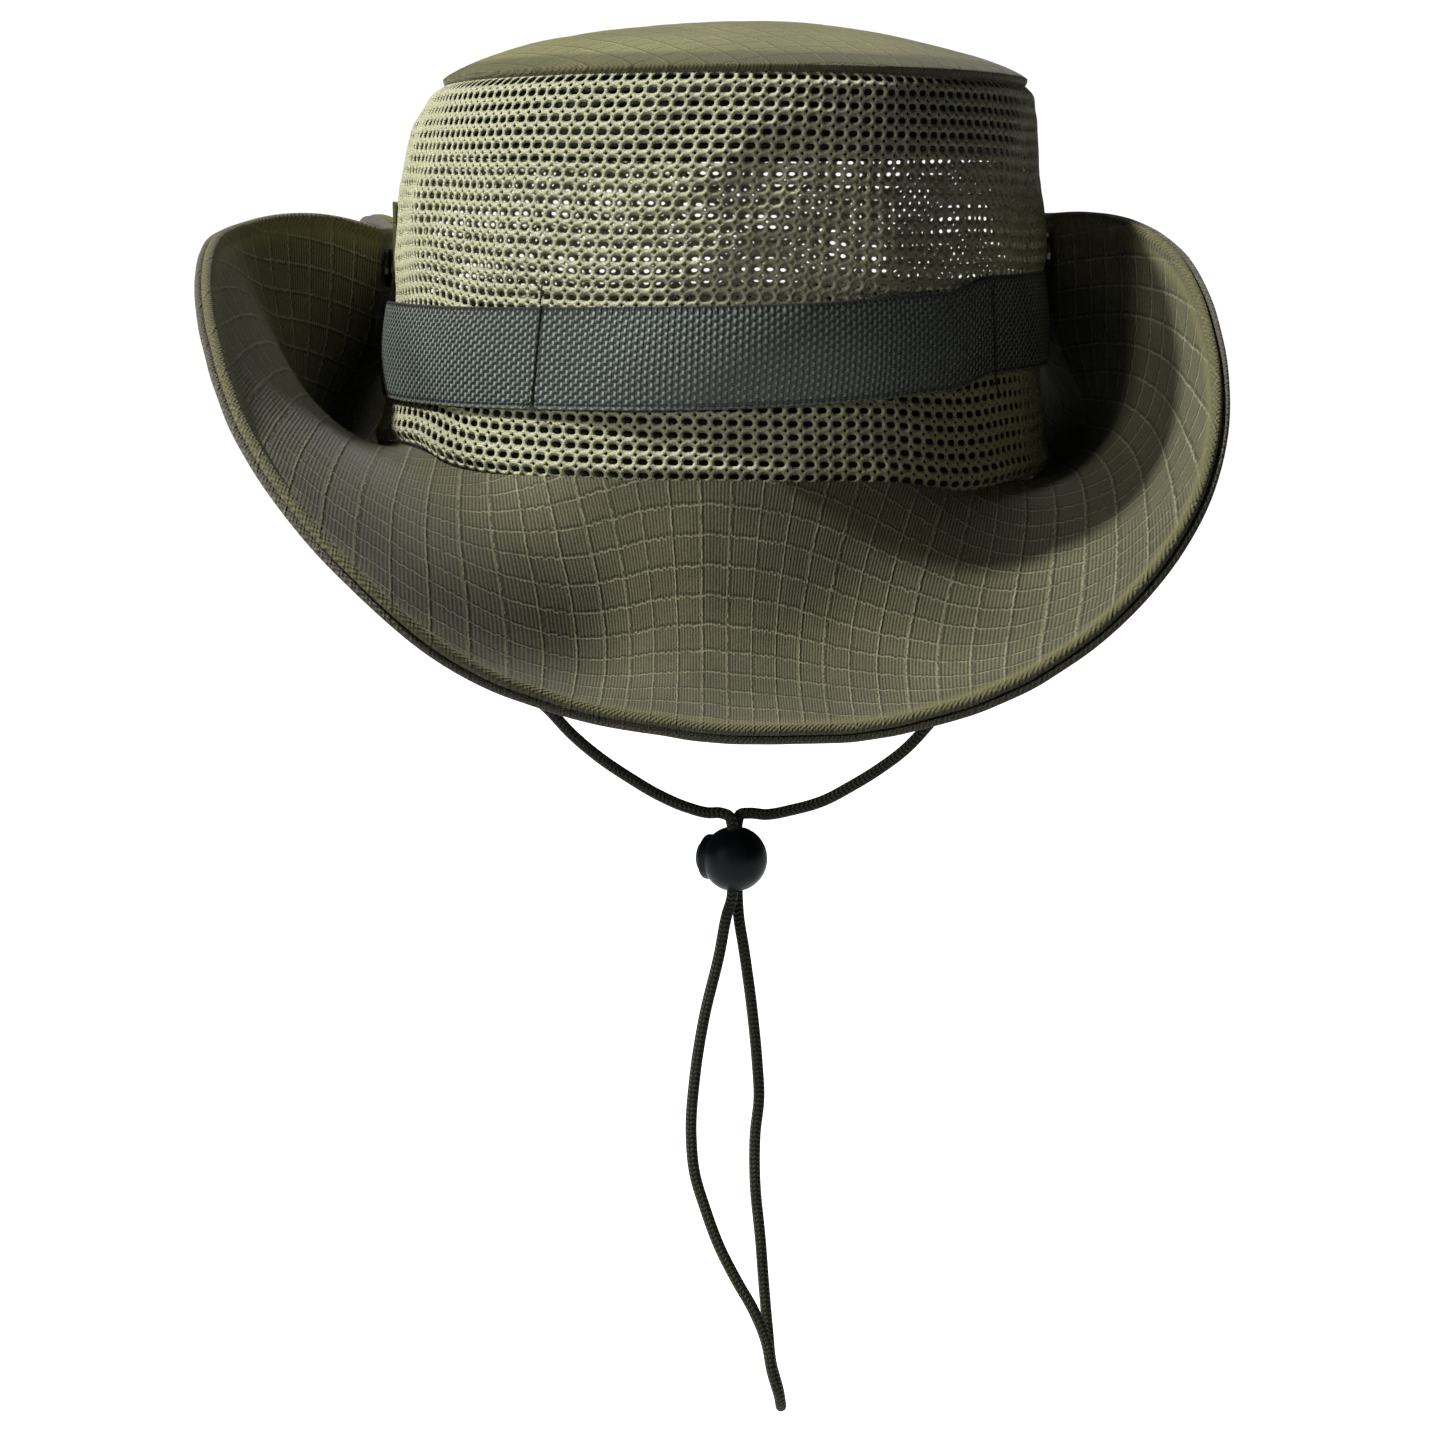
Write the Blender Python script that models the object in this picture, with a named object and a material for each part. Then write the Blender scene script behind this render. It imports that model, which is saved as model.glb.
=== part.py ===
"""Boonie hat: net crown, webbing band, snap-up brim, chin cord with a sprung toggle.

Units in this file are millimetres until an object is made; objects are in metres.
The origin is the centre of the head opening, +Z is up and -Y is the front.
"""

import math

import bmesh
import bpy
import numpy as np
from mathutils import Matrix, Vector

MM = 0.001
GAP = 0.3

# Head opening and crown
HEAD_HALF_LENGTH = 105.0
HEAD_HALF_WIDTH = 86.0
HEAD_CENTRE_X = -1.5
CROWN_HEIGHT = 95.0
DOME_HEIGHT = 14.4
CROWN_CLOTH = 1.2
SIDE_SEAM_DEG = 105.0

# Brim
BRIM_WIDTH = 72.0
BRIM_START = 0.6
BRIM_LAYER = 0.6
FLAP_HALF_LENGTH = 60.0
SNAP_FROM_EDGE = 10.0
SNAP_HALF_DEG = 3.4
SEGMENTS = 48
BRIM_ROWS = (0.0, 0.12, 0.24, 0.36, 0.5, 0.7, 1.0)

# Every 15 degrees from the left side, round the front, to the right side: the slope of the brim
# in degrees at the head opening, at 35 %, at 70 % and at the rim. The back is like the front, but
# stays up further round.
BRIM_SLOPES = (
    (-35, 121, 98, 88), (-20, 70, 75, 75), (0, 45, 55, 55), (-15, 20, 30, 35),
    (-40, -15, 0, 10), (-75, -65, -15, 0), (-75, -70, -25, -10), (-75, -70, -25, -10),
    (-65, -50, -15, 10), (-45, -15, 20, 40), (-10, 20, 65, 75), (10, 70, 80, 90),
    (8, 112, 92, 92),
)
SEAM_HEIGHTS = (2.0, 5.0, 5.5, 1.5, 0.5, 0.0, 0.0, -0.5, -1.5, -4.0, -3.0, -3.0, -2.0)

# Webbing band, sweatband and seam facing
BAND_WIDTH = 23.5
BAND_HEIGHT = 31.7
BAND_TILT = 1.9
BAND_CLOTH = 1.2
TACKS = {"front_left": -29, "front_right": 52, "back_right": 126, "back_left": 196, "side_left": 263}
SWEATBAND_WIDTH = 35.0
FACING_WIDTH = 16.0

# Chin cord and toggle
CORD_RADIUS = 1.5
BALL_RADIUS = 8.6
BALL_CENTRE = Vector((4.5, 0.0, -104.5))
PLUNGER_TURN_DEG = 25.0
PLUNGER_RADIUS = 4.6
PLUNGER_TRAVEL = 2.2
STRAND_SPREAD = 1.65
CHANNEL_HALF_WIDTH = 2.35
CHANNEL_HALF_LENGTH = 3.95

OLIVE = (0.075, 0.075, 0.042)
NET_OLIVE = (0.36, 0.34, 0.19)
BAND_GREEN = (0.055, 0.075, 0.062)
DARK_CLOTH = (0.020, 0.024, 0.016)
CORD_GREEN = (0.040, 0.045, 0.017)
BLACK_PLASTIC = (0.006, 0.008, 0.009)
DARK_METAL = (0.10, 0.10, 0.09)


# ---------------------------------------------------------------- curves and surfaces


def smooth(x, stations, values):
    """A Catmull-Rom curve through the values at the stations, read at x."""
    stations, values = np.asarray(stations, float), np.asarray(values, float)
    slopes = np.gradient(values, stations, axis=0)
    i = np.clip(np.searchsorted(stations, x, side="right") - 1, 0, len(stations) - 2)
    width = stations[i + 1] - stations[i]
    u = (x - stations[i]) / width
    return (
        (1 + 2 * u) * (1 - u) ** 2 * values[i]
        + u * (1 - u) ** 2 * width * slopes[i]
        + u * u * (3 - 2 * u) * values[i + 1]
        + u * u * (u - 1) * width * slopes[i + 1]
    )


def station(deg):
    """The place in the front half's tables of any angle round the head. It is level at each snap."""
    t = math.radians(deg)
    folded = math.degrees(math.asin(math.sin(t))) if math.cos(t) >= 0 else 90 * math.sin(t)
    return max(-90.0, min(90.0, folded * 90 / (90 - SNAP_HALF_DEG)))


def seam_height(deg):
    return float(smooth(station(deg), np.arange(-90, 91, 15), SEAM_HEIGHTS))


def outward(deg, half_width, half_length):
    t = math.radians(deg)
    n = Vector((math.sin(t) / half_width, -math.cos(t) / half_length, 0.0))
    return n.normalized()


def crown_point(deg, z, offset=0.0):
    """A point on the crown's side at height z, moved outwards by offset."""
    u = max(0.0, z / CROWN_HEIGHT)
    half_width = HEAD_HALF_WIDTH - 6.8 * u**0.6 - 5.4 * u**10
    half_length = HEAD_HALF_LENGTH - 2.0 * u - 6.0 * u**6
    centre = HEAD_CENTRE_X + 3.0 * u + 3.0 * u**6
    t = math.radians(deg)
    p = Vector((centre + half_width * math.sin(t), -half_length * math.cos(t), z))
    return p + outward(deg, half_width, half_length) * offset


def brim_section(deg, rows):
    """Distance out from the head opening and height, at each row across the brim."""
    fine = np.linspace(0, 1, 37)
    slopes = smooth(station(deg), np.arange(-90, 91, 15), BRIM_SLOPES)
    phi = np.radians([smooth(s, (0, 0.35, 0.7, 1), slopes) for s in fine])
    step = BRIM_WIDTH / (len(fine) - 1)

    def run(f):
        return np.concatenate([[0], np.cumsum((f[1:] + f[:-1]) / 2 * step)])

    out, up = run(np.cos(phi)), run(np.sin(phi))
    return (
        np.interp(rows, fine, out) + BRIM_START,
        np.interp(rows, fine, up) + seam_height(deg),
    )


def brim_grid(degrees, rows):
    grid = np.zeros((len(degrees), len(rows), 3))
    for i, deg in enumerate(degrees):
        t = math.radians(deg)
        n = outward(deg, HEAD_HALF_WIDTH, HEAD_HALF_LENGTH)
        out, up = brim_section(deg, rows)
        grid[i, :, 0] = HEAD_CENTRE_X + HEAD_HALF_WIDTH * math.sin(t) + n.x * out
        grid[i, :, 1] = -HEAD_HALF_LENGTH * math.cos(t) + n.y * out
        grid[i, :, 2] = up
    return grid


def upper_normals(grid):
    round_head = np.roll(grid, -1, axis=0) - np.roll(grid, 1, axis=0)
    across = np.gradient(grid, axis=1)
    n = np.cross(across, round_head)
    return n / np.linalg.norm(n, axis=2, keepdims=True)


def through(points, spacing):
    """Evenly spaced points on the smooth curve through the route points."""
    points = np.asarray(points, float)
    far = np.concatenate([[0], np.cumsum(np.linalg.norm(np.diff(points, axis=0), axis=1))])
    fine = np.array([smooth(s, far, points) for s in np.linspace(0, far[-1], 600)])
    far = np.concatenate([[0], np.cumsum(np.linalg.norm(np.diff(fine, axis=0), axis=1))])
    count = max(4, round(far[-1] / spacing))
    at = np.linspace(0, far[-1], count + 1)
    return np.stack([np.interp(at, far, fine[:, k]) for k in range(3)], axis=1)


# ---------------------------------------------------------------- objects


def material(name, colour, roughness=0.9, metallic=0.0):
    made = bpy.data.materials.new(name)
    made.use_nodes = True
    shader = made.node_tree.nodes["Principled BSDF"]
    shader.inputs["Base Color"].default_value = (*colour, 1.0)
    shader.inputs["Roughness"].default_value = roughness
    shader.inputs["Metallic"].default_value = metallic
    made.diffuse_color = (*colour, 1.0)
    return made


def add(name, bm, look, pivot=(0, 0, 0)):
    """Makes the object from a mesh in millimetres, its origin at the pivot."""
    bm.normal_update()
    bmesh.ops.recalc_face_normals(bm, faces=bm.faces[:])
    bm.transform(Matrix.Scale(MM, 4) @ Matrix.Translation(-Vector(pivot)))
    mesh = bpy.data.meshes.new(name)
    bm.to_mesh(mesh)
    bm.free()
    made = bpy.data.objects.new(name, mesh)
    made.location = Vector(pivot) * MM
    bpy.context.scene.collection.objects.link(made)
    mesh.materials.append(material(name, *look))
    return made


def slab(front, back, ring):
    """A closed solid between two grids of points, closed round the first direction if ring."""
    nu, nv = front.shape[:2]
    bm = bmesh.new()
    a = [[bm.verts.new(p) for p in row] for row in front]
    b = [[bm.verts.new(p) for p in row] for row in back]
    for i in range(nu if ring else nu - 1):
        k = (i + 1) % nu
        for j in range(nv - 1):
            for side in (a, b):
                bm.faces.new((side[i][j], side[k][j], side[k][j + 1]))
                bm.faces.new((side[i][j], side[k][j + 1], side[i][j + 1]))
        for j in (0, nv - 1):
            bm.faces.new((a[i][j], a[k][j], b[k][j], b[i][j]))
    if not ring:
        for i in (0, nu - 1):
            for j in range(nv - 1):
                bm.faces.new((a[i][j], a[i][j + 1], b[i][j + 1], b[i][j]))
    return bm


def crown_strip(name, look, degrees, low, high, inner, outer, ring=True, rows=(0, 1)):
    """A strip of cloth round the crown, between two heights that may depend on the angle."""
    grids = []
    for offset in (inner, outer):
        grid = [
            [crown_point(d, low(d) + (high(d) - low(d)) * r, offset) for r in rows]
            for d in degrees
        ]
        grids.append(np.array([[tuple(p) for p in row] for row in grid]))
    return add(name, slab(grids[1], grids[0], ring), look)


def kept_between(bm, low_y, high_y, side=0):
    """Keeps the part of a solid between two planes across Y, and on one side of X = 0."""
    planes = [((0, low_y, 0), (0, -1, 0)), ((0, high_y, 0), (0, 1, 0))]
    if side:
        planes.append(((0, 0, 0), (-side, 0, 0)))
    for point, normal in planes:
        geometry = bm.verts[:] + bm.edges[:] + bm.faces[:]
        bmesh.ops.bisect_plane(
            bm, geom=geometry, dist=1e-5, plane_co=point, plane_no=normal, clear_outer=True
        )
        rim = [e for e in bm.edges if e.is_boundary]
        bmesh.ops.holes_fill(bm, edges=rim, sides=0)
    bmesh.ops.triangulate(bm, faces=bm.faces[:])
    return bm


def turned(profile, axis_from, direction, segments=20):
    """A solid turned about a line: profile is (distance along, radius) from one end to the other."""
    frame = Vector(direction).to_track_quat("Z", "Y").to_matrix()
    bm = bmesh.new()
    rings = []
    for along, radius in profile:
        centre = Vector(axis_from) + Vector(direction).normalized() * along
        if radius == 0:
            rings.append([bm.verts.new(centre)])
            continue
        turn = [2 * math.pi * k / segments for k in range(segments)]
        rings.append(
            [bm.verts.new(centre + frame @ Vector((radius * math.cos(a), radius * math.sin(a), 0))) for a in turn]
        )
    for one, two in zip(rings, rings[1:]):
        for k in range(segments):
            m = (k + 1) % segments
            corners = [one[k % len(one)], one[m % len(one)], two[m % len(two)], two[k % len(two)]]
            bm.faces.new(list(dict.fromkeys(corners)))
    for ring in (rings[0], rings[-1]):
        if len(ring) > 1:
            bm.faces.new(ring)
    return bm


def box(centre, size):
    bm = bmesh.new()
    bmesh.ops.create_cube(bm, size=1.0)
    bm.transform(Matrix.Translation(Vector(centre)) @ Matrix.Diagonal((*size, 1.0)))
    return bm


def cut(target, bm, operation="DIFFERENCE"):
    """Cuts a solid in millimetres out of an object and leaves no modifier behind."""
    cutter = add("cutter", bm, (OLIVE,))
    modifier = target.modifiers.new("cut", "BOOLEAN")
    modifier.operation, modifier.solver, modifier.object = operation, "EXACT", cutter
    bpy.context.view_layer.update()
    ready = target.evaluated_get(bpy.context.evaluated_depsgraph_get())
    mesh = bpy.data.meshes.new_from_object(ready)
    target.modifiers.clear()
    target.data = mesh
    bpy.data.objects.remove(cutter)


def cord(name, look, route, pivot, radius=CORD_RADIUS, spacing=6.5, resolution=2):
    """A round cord through the route points, in millimetres."""
    curve = bpy.data.curves.new(name, "CURVE")
    curve.dimensions, curve.use_fill_caps = "3D", True
    curve.bevel_depth, curve.bevel_resolution = radius * MM, resolution
    points = through(route, spacing)
    spline = curve.splines.new("POLY")
    spline.points.add(len(points) - 1)
    for point, at in zip(spline.points, points):
        point.co = (*((Vector(at) - Vector(pivot)) * MM), 1.0)
    made = bpy.data.objects.new(name, curve)
    made.location = Vector(pivot) * MM
    bpy.context.scene.collection.objects.link(made)
    curve.materials.append(material(name, *look))
    return made


# ---------------------------------------------------------------- the hat


def make_crown():
    every = np.arange(SEGMENTS) * 360 / SEGMENTS
    cloth, net = (OLIVE, 0.9), (NET_OLIVE, 0.85)

    rings = (0.0, 0.45, 0.75, 0.93, 1.0)
    bm = bmesh.new()
    skins = []
    for drop in (0.0, 1.0):
        rows = []
        for r in rings:
            z = CROWN_HEIGHT + 1.0 + DOME_HEIGHT * (1 - r * r) ** 0.8 - drop
            rim = [crown_point(d, CROWN_HEIGHT) for d in every]
            middle = Vector((HEAD_CENTRE_X + 2.5, 0, 0))
            spots = [middle + (p - middle) * r for p in rim] if r else [middle]
            rows.append([bm.verts.new((p.x, p.y, z)) for p in spots])
        skins.append(rows)
    for rows in skins:
        for k in range(SEGMENTS):
            m = (k + 1) % SEGMENTS
            bm.faces.new((rows[0][0], rows[1][k], rows[1][m]))
            for one, two in zip(rows[1:], rows[2:]):
                bm.faces.new((one[k], two[k], two[m]))
                bm.faces.new((one[k], two[m], one[m]))
    for k in range(SEGMENTS):
        m = (k + 1) % SEGMENTS
        a, b = skins[0][-1], skins[1][-1]
        bm.faces.new((a[k], a[m], b[m], b[k]))
    add("crown_top", bm, cloth)

    def net_low(d):
        return seam_height(d) + 2.4

    def net_high(d):
        return CROWN_HEIGHT - 0.4

    front = np.concatenate([[0.1 - SIDE_SEAM_DEG], np.arange(-97.5, 98, 7.5), [SIDE_SEAM_DEG - 0.1]])
    back = np.concatenate([[SIDE_SEAM_DEG + 0.1], np.arange(112.5, 248, 7.5), [254.9]])
    rows = (0, 0.06, 0.18, 0.35, 0.6, 0.8, 0.92, 1)
    panels = {"crown_net_front": front, "crown_net_back": back}
    made = {
        name: crown_strip(name, net, degrees, net_low, net_high, -CROWN_CLOTH, 0, False, rows)
        for name, degrees in panels.items()
    }

    top = CROWN_HEIGHT - 1.2
    crown_strip("crown_seam_facing", (DARK_CLOTH, 0.9), every, lambda d: top - FACING_WIDTH,
                lambda d: top, -2.8, -2.1, True, (0, 0.5, 1))

    def band_middle(d):
        return BAND_HEIGHT + BAND_TILT * math.sin(math.radians(d))

    crown_strip("hat_band", (BAND_GREEN, 0.7), every, lambda d: band_middle(d) - BAND_WIDTH / 2,
                lambda d: band_middle(d) + BAND_WIDTH / 2, 0.4, 0.4 + BAND_CLOTH)
    tack_half = BAND_WIDTH / 2 - 1.5
    for place, deg in TACKS.items():
        crown_strip(f"band_tack_{place}", (CORD_GREEN, 0.9), (deg - 0.4, deg, deg + 0.4),
                    lambda d: band_middle(d) - tack_half, lambda d: band_middle(d) + tack_half,
                    0.75 + BAND_CLOTH, 1.35 + BAND_CLOTH, False)
    crown_strip("sweatband", (DARK_CLOTH, 0.9), every, lambda d: seam_height(d) - 5,
                lambda d: seam_height(d) - 5 + SWEATBAND_WIDTH, -4.6, -3.4)
    return made["crown_net_front"]


def flap_pivot(side):
    """The line each side of the brim folds about, just under its seam."""
    drop = 3.5 if side < 0 else 1.0
    x = HEAD_CENTRE_X + side * (HEAD_HALF_WIDTH + BRIM_START)
    return Vector((x, 0, seam_height(90 * side) - drop))


def make_brim():
    degrees = [d for d in np.arange(SEGMENTS) * 360 / SEGMENTS if d % 180 != 90]
    degrees = np.sort(degrees + [d + s * SNAP_HALF_DEG for d in (90, 270) for s in (-1, 1)])
    middle = brim_grid(degrees, BRIM_ROWS)
    up = upper_normals(middle)
    layers = {"top": BRIM_LAYER + GAP, "stiffener": 0.0, "under": -BRIM_LAYER - GAP}
    looks = {"top": (OLIVE, 0.9), "stiffener": ((0.20, 0.19, 0.15), 0.95), "under": (OLIVE, 0.9)}
    edge = FLAP_HALF_LENGTH + GAP
    flaps = {-1: [], 1: []}
    for layer, offset in layers.items():
        upper = middle + up * (offset + BRIM_LAYER / 2)
        lower = middle + up * (offset - BRIM_LAYER / 2)

        def piece(low_y, high_y, side=0):
            return kept_between(slab(upper, lower, True), low_y, high_y, side)

        look = looks[layer]
        add(f"brim_{layer}_front", piece(-400, -edge), look)
        add(f"brim_{layer}_back", piece(edge, 400), look)
        for side, name in ((-1, "left"), (1, "right")):
            flap = piece(-FLAP_HALF_LENGTH, FLAP_HALF_LENGTH, side)
            flaps[side].append(add(f"brim_{layer}_{name}", flap, look, flap_pivot(side)))
    return flaps


def make_snap(side, name, crown_net, flap):
    """The stud on the crown, the socket on the brim and the cloth patch between."""
    row = np.array([1 - SNAP_FROM_EDGE / BRIM_WIDTH])
    out, up = brim_section(90 * side, row)
    z = float(up[0])
    brim_x = HEAD_CENTRE_X + side * (HEAD_HALF_WIDTH + float(out[0]))
    wall_x = crown_point(90 * side, z).x
    direction = Vector((side, 0, 0))
    metal, patch_low = (DARK_METAL, 0.35, 0.9), BAND_HEIGHT + BAND_TILT * side + BAND_WIDTH / 2 + 0.8

    degrees = np.array([-5.5, 0, 5.5]) + 90 * side
    patch = crown_strip(f"snap_patch_{name}", (OLIVE, 0.9), degrees, lambda d: patch_low,
                        lambda d: 66.0, 0.3, 0.9, False)
    start = wall_x - side * 6
    for target in (crown_net, patch):
        cut(target, turned([(0, 1.5), (12, 1.5)], (start, 0, z), direction, 16))

    def at(offset):
        return (wall_x + side * offset, 0, z)

    stud = [(0, 1.15), (4.3, 1.15), (4.3, 4.3), (4.9, 4.3), (4.9, 1.7), (5.2, 1.95), (5.7, 1.7), (6.0, 1.1)]
    add(f"snap_stud_{name}", turned(stud, at(-3.0), direction), metal)
    post = turned([(0, 4.4), (0.7, 4.4)], at(-3.1), direction)
    post = add(f"snap_post_{name}", post, metal)
    cut(post, turned([(-1, 1.45), (2, 1.45)], at(-3.1), direction, 16))

    pivot = flap_pivot(side)
    inner_x = brim_x - side * (1.5 * BRIM_LAYER + GAP)
    thick = abs(inner_x - wall_x) - 2.2 - 0.6
    socket = turned([(0, 4.6), (0.3, 5.0), (thick - 0.3, 5.0), (thick, 4.6)], at(2.2), direction)
    socket = add(f"snap_socket_{name}", socket, metal, pivot)
    cut(socket, turned([(-1, 2.3), (1.15, 2.3)], at(2.2), direction, 16))
    cut(socket, turned([(0, 0.95), (thick + 1, 0.95)], at(2.2), direction, 12))
    for layer in flap:
        cut(layer, turned([(0, 1.2), (10, 1.2)], (brim_x - side * 5, 0, z), direction, 12))
    cap_x = abs(brim_x - wall_x) + 1.5 * BRIM_LAYER + GAP + 0.7
    shank = cap_x - (2.2 + thick - 0.2)
    cap = [(0, 0.65), (shank, 0.65), (shank, 5.3), (shank + 0.5, 5.3), (shank + 1.1, 3.6), (shank + 1.3, 0)]
    add(f"snap_cap_{name}", turned(cap, at(cap_x - shank), direction), metal, pivot)


def make_chin_cord():
    pivot = Vector((0, 0, -4))
    look = (CORD_GREEN, 0.85)
    exits = {}
    for side, name in ((-1, "left"), (1, "right")):
        deg = 90 * side
        low = seam_height(deg)
        at = crown_point(deg, 0, -2.3)
        add(f"cord_anchor_{name}", box((at.x, 0, low - 2.0), (1.2, 8, 8)), (DARK_CLOTH, 0.9))
        exits[side] = Vector((at.x, 0, low - 6.3))
    across = Vector((math.sin(math.radians(PLUNGER_TURN_DEG)), math.cos(math.radians(PLUNGER_TURN_DEG)), 0))
    near, far = BALL_CENTRE - across * STRAND_SPREAD, BALL_CENTRE + across * STRAND_SPREAD

    def inside(strand, z):
        return (strand.x, strand.y, BALL_CENTRE.z + z)

    left = [
        tuple(exits[-1]), (-84, 0, -12), (-79.5, 0, -24), (-71.5, 0, -38), (-59, 0, -52),
        (-44, 0, -65), (-38, 0, -71.5), (-31, 0, -77.5), (-23, 0, -83), (-15.5, 0, -87.5),
        (-8, -0.7, -90.7), (-2.5, -1, -92.1), (0.9, -1.3, -92.1), (3.1, -1.5, -93),
        inside(near, 9.4), inside(near, 5), inside(near, 0.15),
    ]
    right = [
        tuple(exits[1]), (81.5, 0, -16), (78, 0, -28), (72, 0, -42), (64, 0, -56),
        (55, 0, -69), (49, 0, -75.5), (42.5, 0, -80.5), (35, 0, -85.2), (27.5, 0.2, -89.2),
        (19.5, 0.5, -91.6), (12.5, 1, -92.9), (8.3, 1.3, -92.6), (5.9, 1.5, -93),
        inside(far, 9.4), inside(far, 5), inside(far, 0.15),
    ]
    loop = [
        inside(near, -0.15), inside(near, -5), inside(near, -10), (2.5, -1.5, -119),
        (0.5, -2, -129.5), (-3.5, -2.5, -146.5), (-6, -3, -162.5), (-7, -3, -178.5),
        (-6, -3.5, -189), (-3.5, -4, -197.5), (0.5, -4.5, -208.5), (5, -5, -217.5),
        (9.5, -5.5, -225.5), (13, -5.5, -234.5), (14.5, -5.5, -242.5), (16.5, -4, -250),
        (17, 0, -254), (16.5, 4, -251.5), (14.5, 5.5, -244), (13.5, 5.5, -234.5),
        (12.5, 5, -223), (11.5, 4.5, -209.5), (10, 4, -193), (10, 3.5, -180),
        (11, 3, -169.5), (10.5, 3, -160), (9, 2.5, -144.5), (7, 2, -129.5),
        (5.5, 1.5, -119.5), inside(far, -10), inside(far, -5), inside(far, -0.15),
    ]
    cord("chin_cord_left", look, left, pivot)
    cord("chin_cord_right", look, right, pivot)
    cord("chin_cord_loop", look, loop, pivot)


def make_toggle():
    turn = math.radians(PLUNGER_TURN_DEG)
    press = Vector((math.cos(turn), -math.sin(turn), 0))
    black = (BLACK_PLASTIC, 0.4)

    def at(along):
        return BALL_CENTRE + press * along

    def slot(x0, x1):
        """An oval hole straight down, its length across the plunger's travel."""
        bm = turned([(-12, 1.0), (12, 1.0)], (0, 0, 0), (0, 0, 1), 20)
        stretch = Matrix.Diagonal(((x1 - x0) / 2, CHANNEL_HALF_LENGTH, 1, 1))
        shift = Matrix.Translation(BALL_CENTRE) @ Matrix.Rotation(-turn, 4, "Z")
        bm.transform(shift @ Matrix.Translation(((x0 + x1) / 2, 0, 0)) @ stretch)
        return bm

    steps = [math.pi * k / 12 for k in range(13)]
    ball = [(-BALL_RADIUS * math.cos(a), BALL_RADIUS * math.sin(a) if 0 < k < 12 else 0) for k, a in enumerate(steps)]
    body = add("toggle_body", turned(ball, BALL_CENTRE, (0, 0, 1), 24), black, BALL_CENTRE)
    cut(body, turned([(0, PLUNGER_RADIUS + GAP), (18.0, PLUNGER_RADIUS + GAP)], at(-12), press, 24))
    cut(body, turned([(0, 2.6), (2.4, 2.6)], at(5), press, 16))
    cut(body, slot(-CHANNEL_HALF_WIDTH, CHANNEL_HALF_WIDTH))

    r = PLUNGER_RADIUS
    dome = [(-10.2, 0), (-10.05, 0.45 * r), (-9.5, 0.8 * r), (-8.6, r), (3.3, r)]
    plunger = add("toggle_plunger", turned(dome, BALL_CENTRE, press, 24), black, BALL_CENTRE)
    cut(plunger, slot(-CHANNEL_HALF_WIDTH - PLUNGER_TRAVEL, CHANNEL_HALF_WIDTH))

    turns, per_turn = 3, 10
    side = Vector((0, 0, 1)).cross(press)
    coil = []
    for k in range(turns * per_turn + 1):
        a = 2 * math.pi * k / per_turn
        along = 3.95 + 3.1 * k / (turns * per_turn)
        coil.append(tuple(at(along) + side * 1.9 * math.cos(a) + Vector((0, 0, 1.9 * math.sin(a)))))
    cord("toggle_spring", ((0.5, 0.5, 0.5), 0.3, 1.0), coil, BALL_CENTRE, 0.25, 1.2, 1)


def main():
    for thing in list(bpy.data.objects):
        bpy.data.objects.remove(thing)
    crown_net = make_crown()
    flaps = make_brim()
    for side, name in ((-1, "left"), (1, "right")):
        make_snap(side, name, crown_net, flaps[side])
    make_chin_cord()
    make_toggle()


main()
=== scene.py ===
"""Looks of the boonie hat: net crown, webbing band, snapped-up brim, chin cord and toggle.

Lengths are in millimetres until a piece is made; pieces are in metres, in the CAD's frame.
Angles go round the head in degrees from the front, -90 on the -X side and +90 on the +X side.
"""

import math

import bmesh
import bpy
import numpy as np
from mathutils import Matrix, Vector


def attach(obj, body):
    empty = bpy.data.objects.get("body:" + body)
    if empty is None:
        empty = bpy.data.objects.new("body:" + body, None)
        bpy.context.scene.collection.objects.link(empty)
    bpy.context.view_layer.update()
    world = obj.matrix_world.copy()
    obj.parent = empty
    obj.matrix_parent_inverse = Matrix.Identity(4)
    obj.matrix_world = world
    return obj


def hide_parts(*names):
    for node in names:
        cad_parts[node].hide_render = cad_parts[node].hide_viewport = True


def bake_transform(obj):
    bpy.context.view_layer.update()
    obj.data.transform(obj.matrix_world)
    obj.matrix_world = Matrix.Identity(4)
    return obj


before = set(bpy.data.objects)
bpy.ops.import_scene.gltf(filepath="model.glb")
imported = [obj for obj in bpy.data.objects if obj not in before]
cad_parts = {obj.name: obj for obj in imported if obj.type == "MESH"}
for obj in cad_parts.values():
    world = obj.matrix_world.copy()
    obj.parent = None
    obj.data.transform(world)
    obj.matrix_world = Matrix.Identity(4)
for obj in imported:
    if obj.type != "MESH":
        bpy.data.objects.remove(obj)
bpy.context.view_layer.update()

MM = 0.001

# Sizes shared with the CAD
HEAD_HALF_LENGTH = 105.0
HEAD_HALF_WIDTH = 86.0
HEAD_CENTRE_X = -1.5
CROWN_HEIGHT = 95.0
DOME_HEIGHT = 14.4
SIDE_SEAM_DEG = 105.0
BRIM_WIDTH = 72.0
BRIM_START = 0.6
SNAP_HALF_DEG = 3.4
STATIONS_DEG = np.arange(-90, 91, 15)
BRIM_SLOPES = (
    (-35, 121, 98, 88), (-20, 70, 75, 75), (0, 45, 55, 55), (-15, 20, 30, 35),
    (-40, -15, 0, 10), (-75, -65, -15, 0), (-75, -70, -25, -10), (-75, -70, -25, -10),
    (-65, -50, -15, 10), (-45, -15, 20, 40), (-10, 20, 65, 75), (10, 70, 80, 90),
    (8, 112, 92, 92),
)
SEAM_HEIGHTS = (2.0, 5.0, 5.5, 1.5, 0.5, 0.0, 0.0, -0.5, -1.5, -4.0, -3.0, -3.0, -2.0)
BAND_WIDTH = 23.5
BAND_HEIGHT = 31.7
BAND_TILT = 1.9
TACKS = {
    "front_left": -29, "front_right": 52, "back_right": 126, "back_left": 196, "side_left": 263,
}
SWEATBAND_WIDTH = 35.0
SWEATBAND_DROP = 5.0
FACING_WIDTH = 16.0
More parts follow.
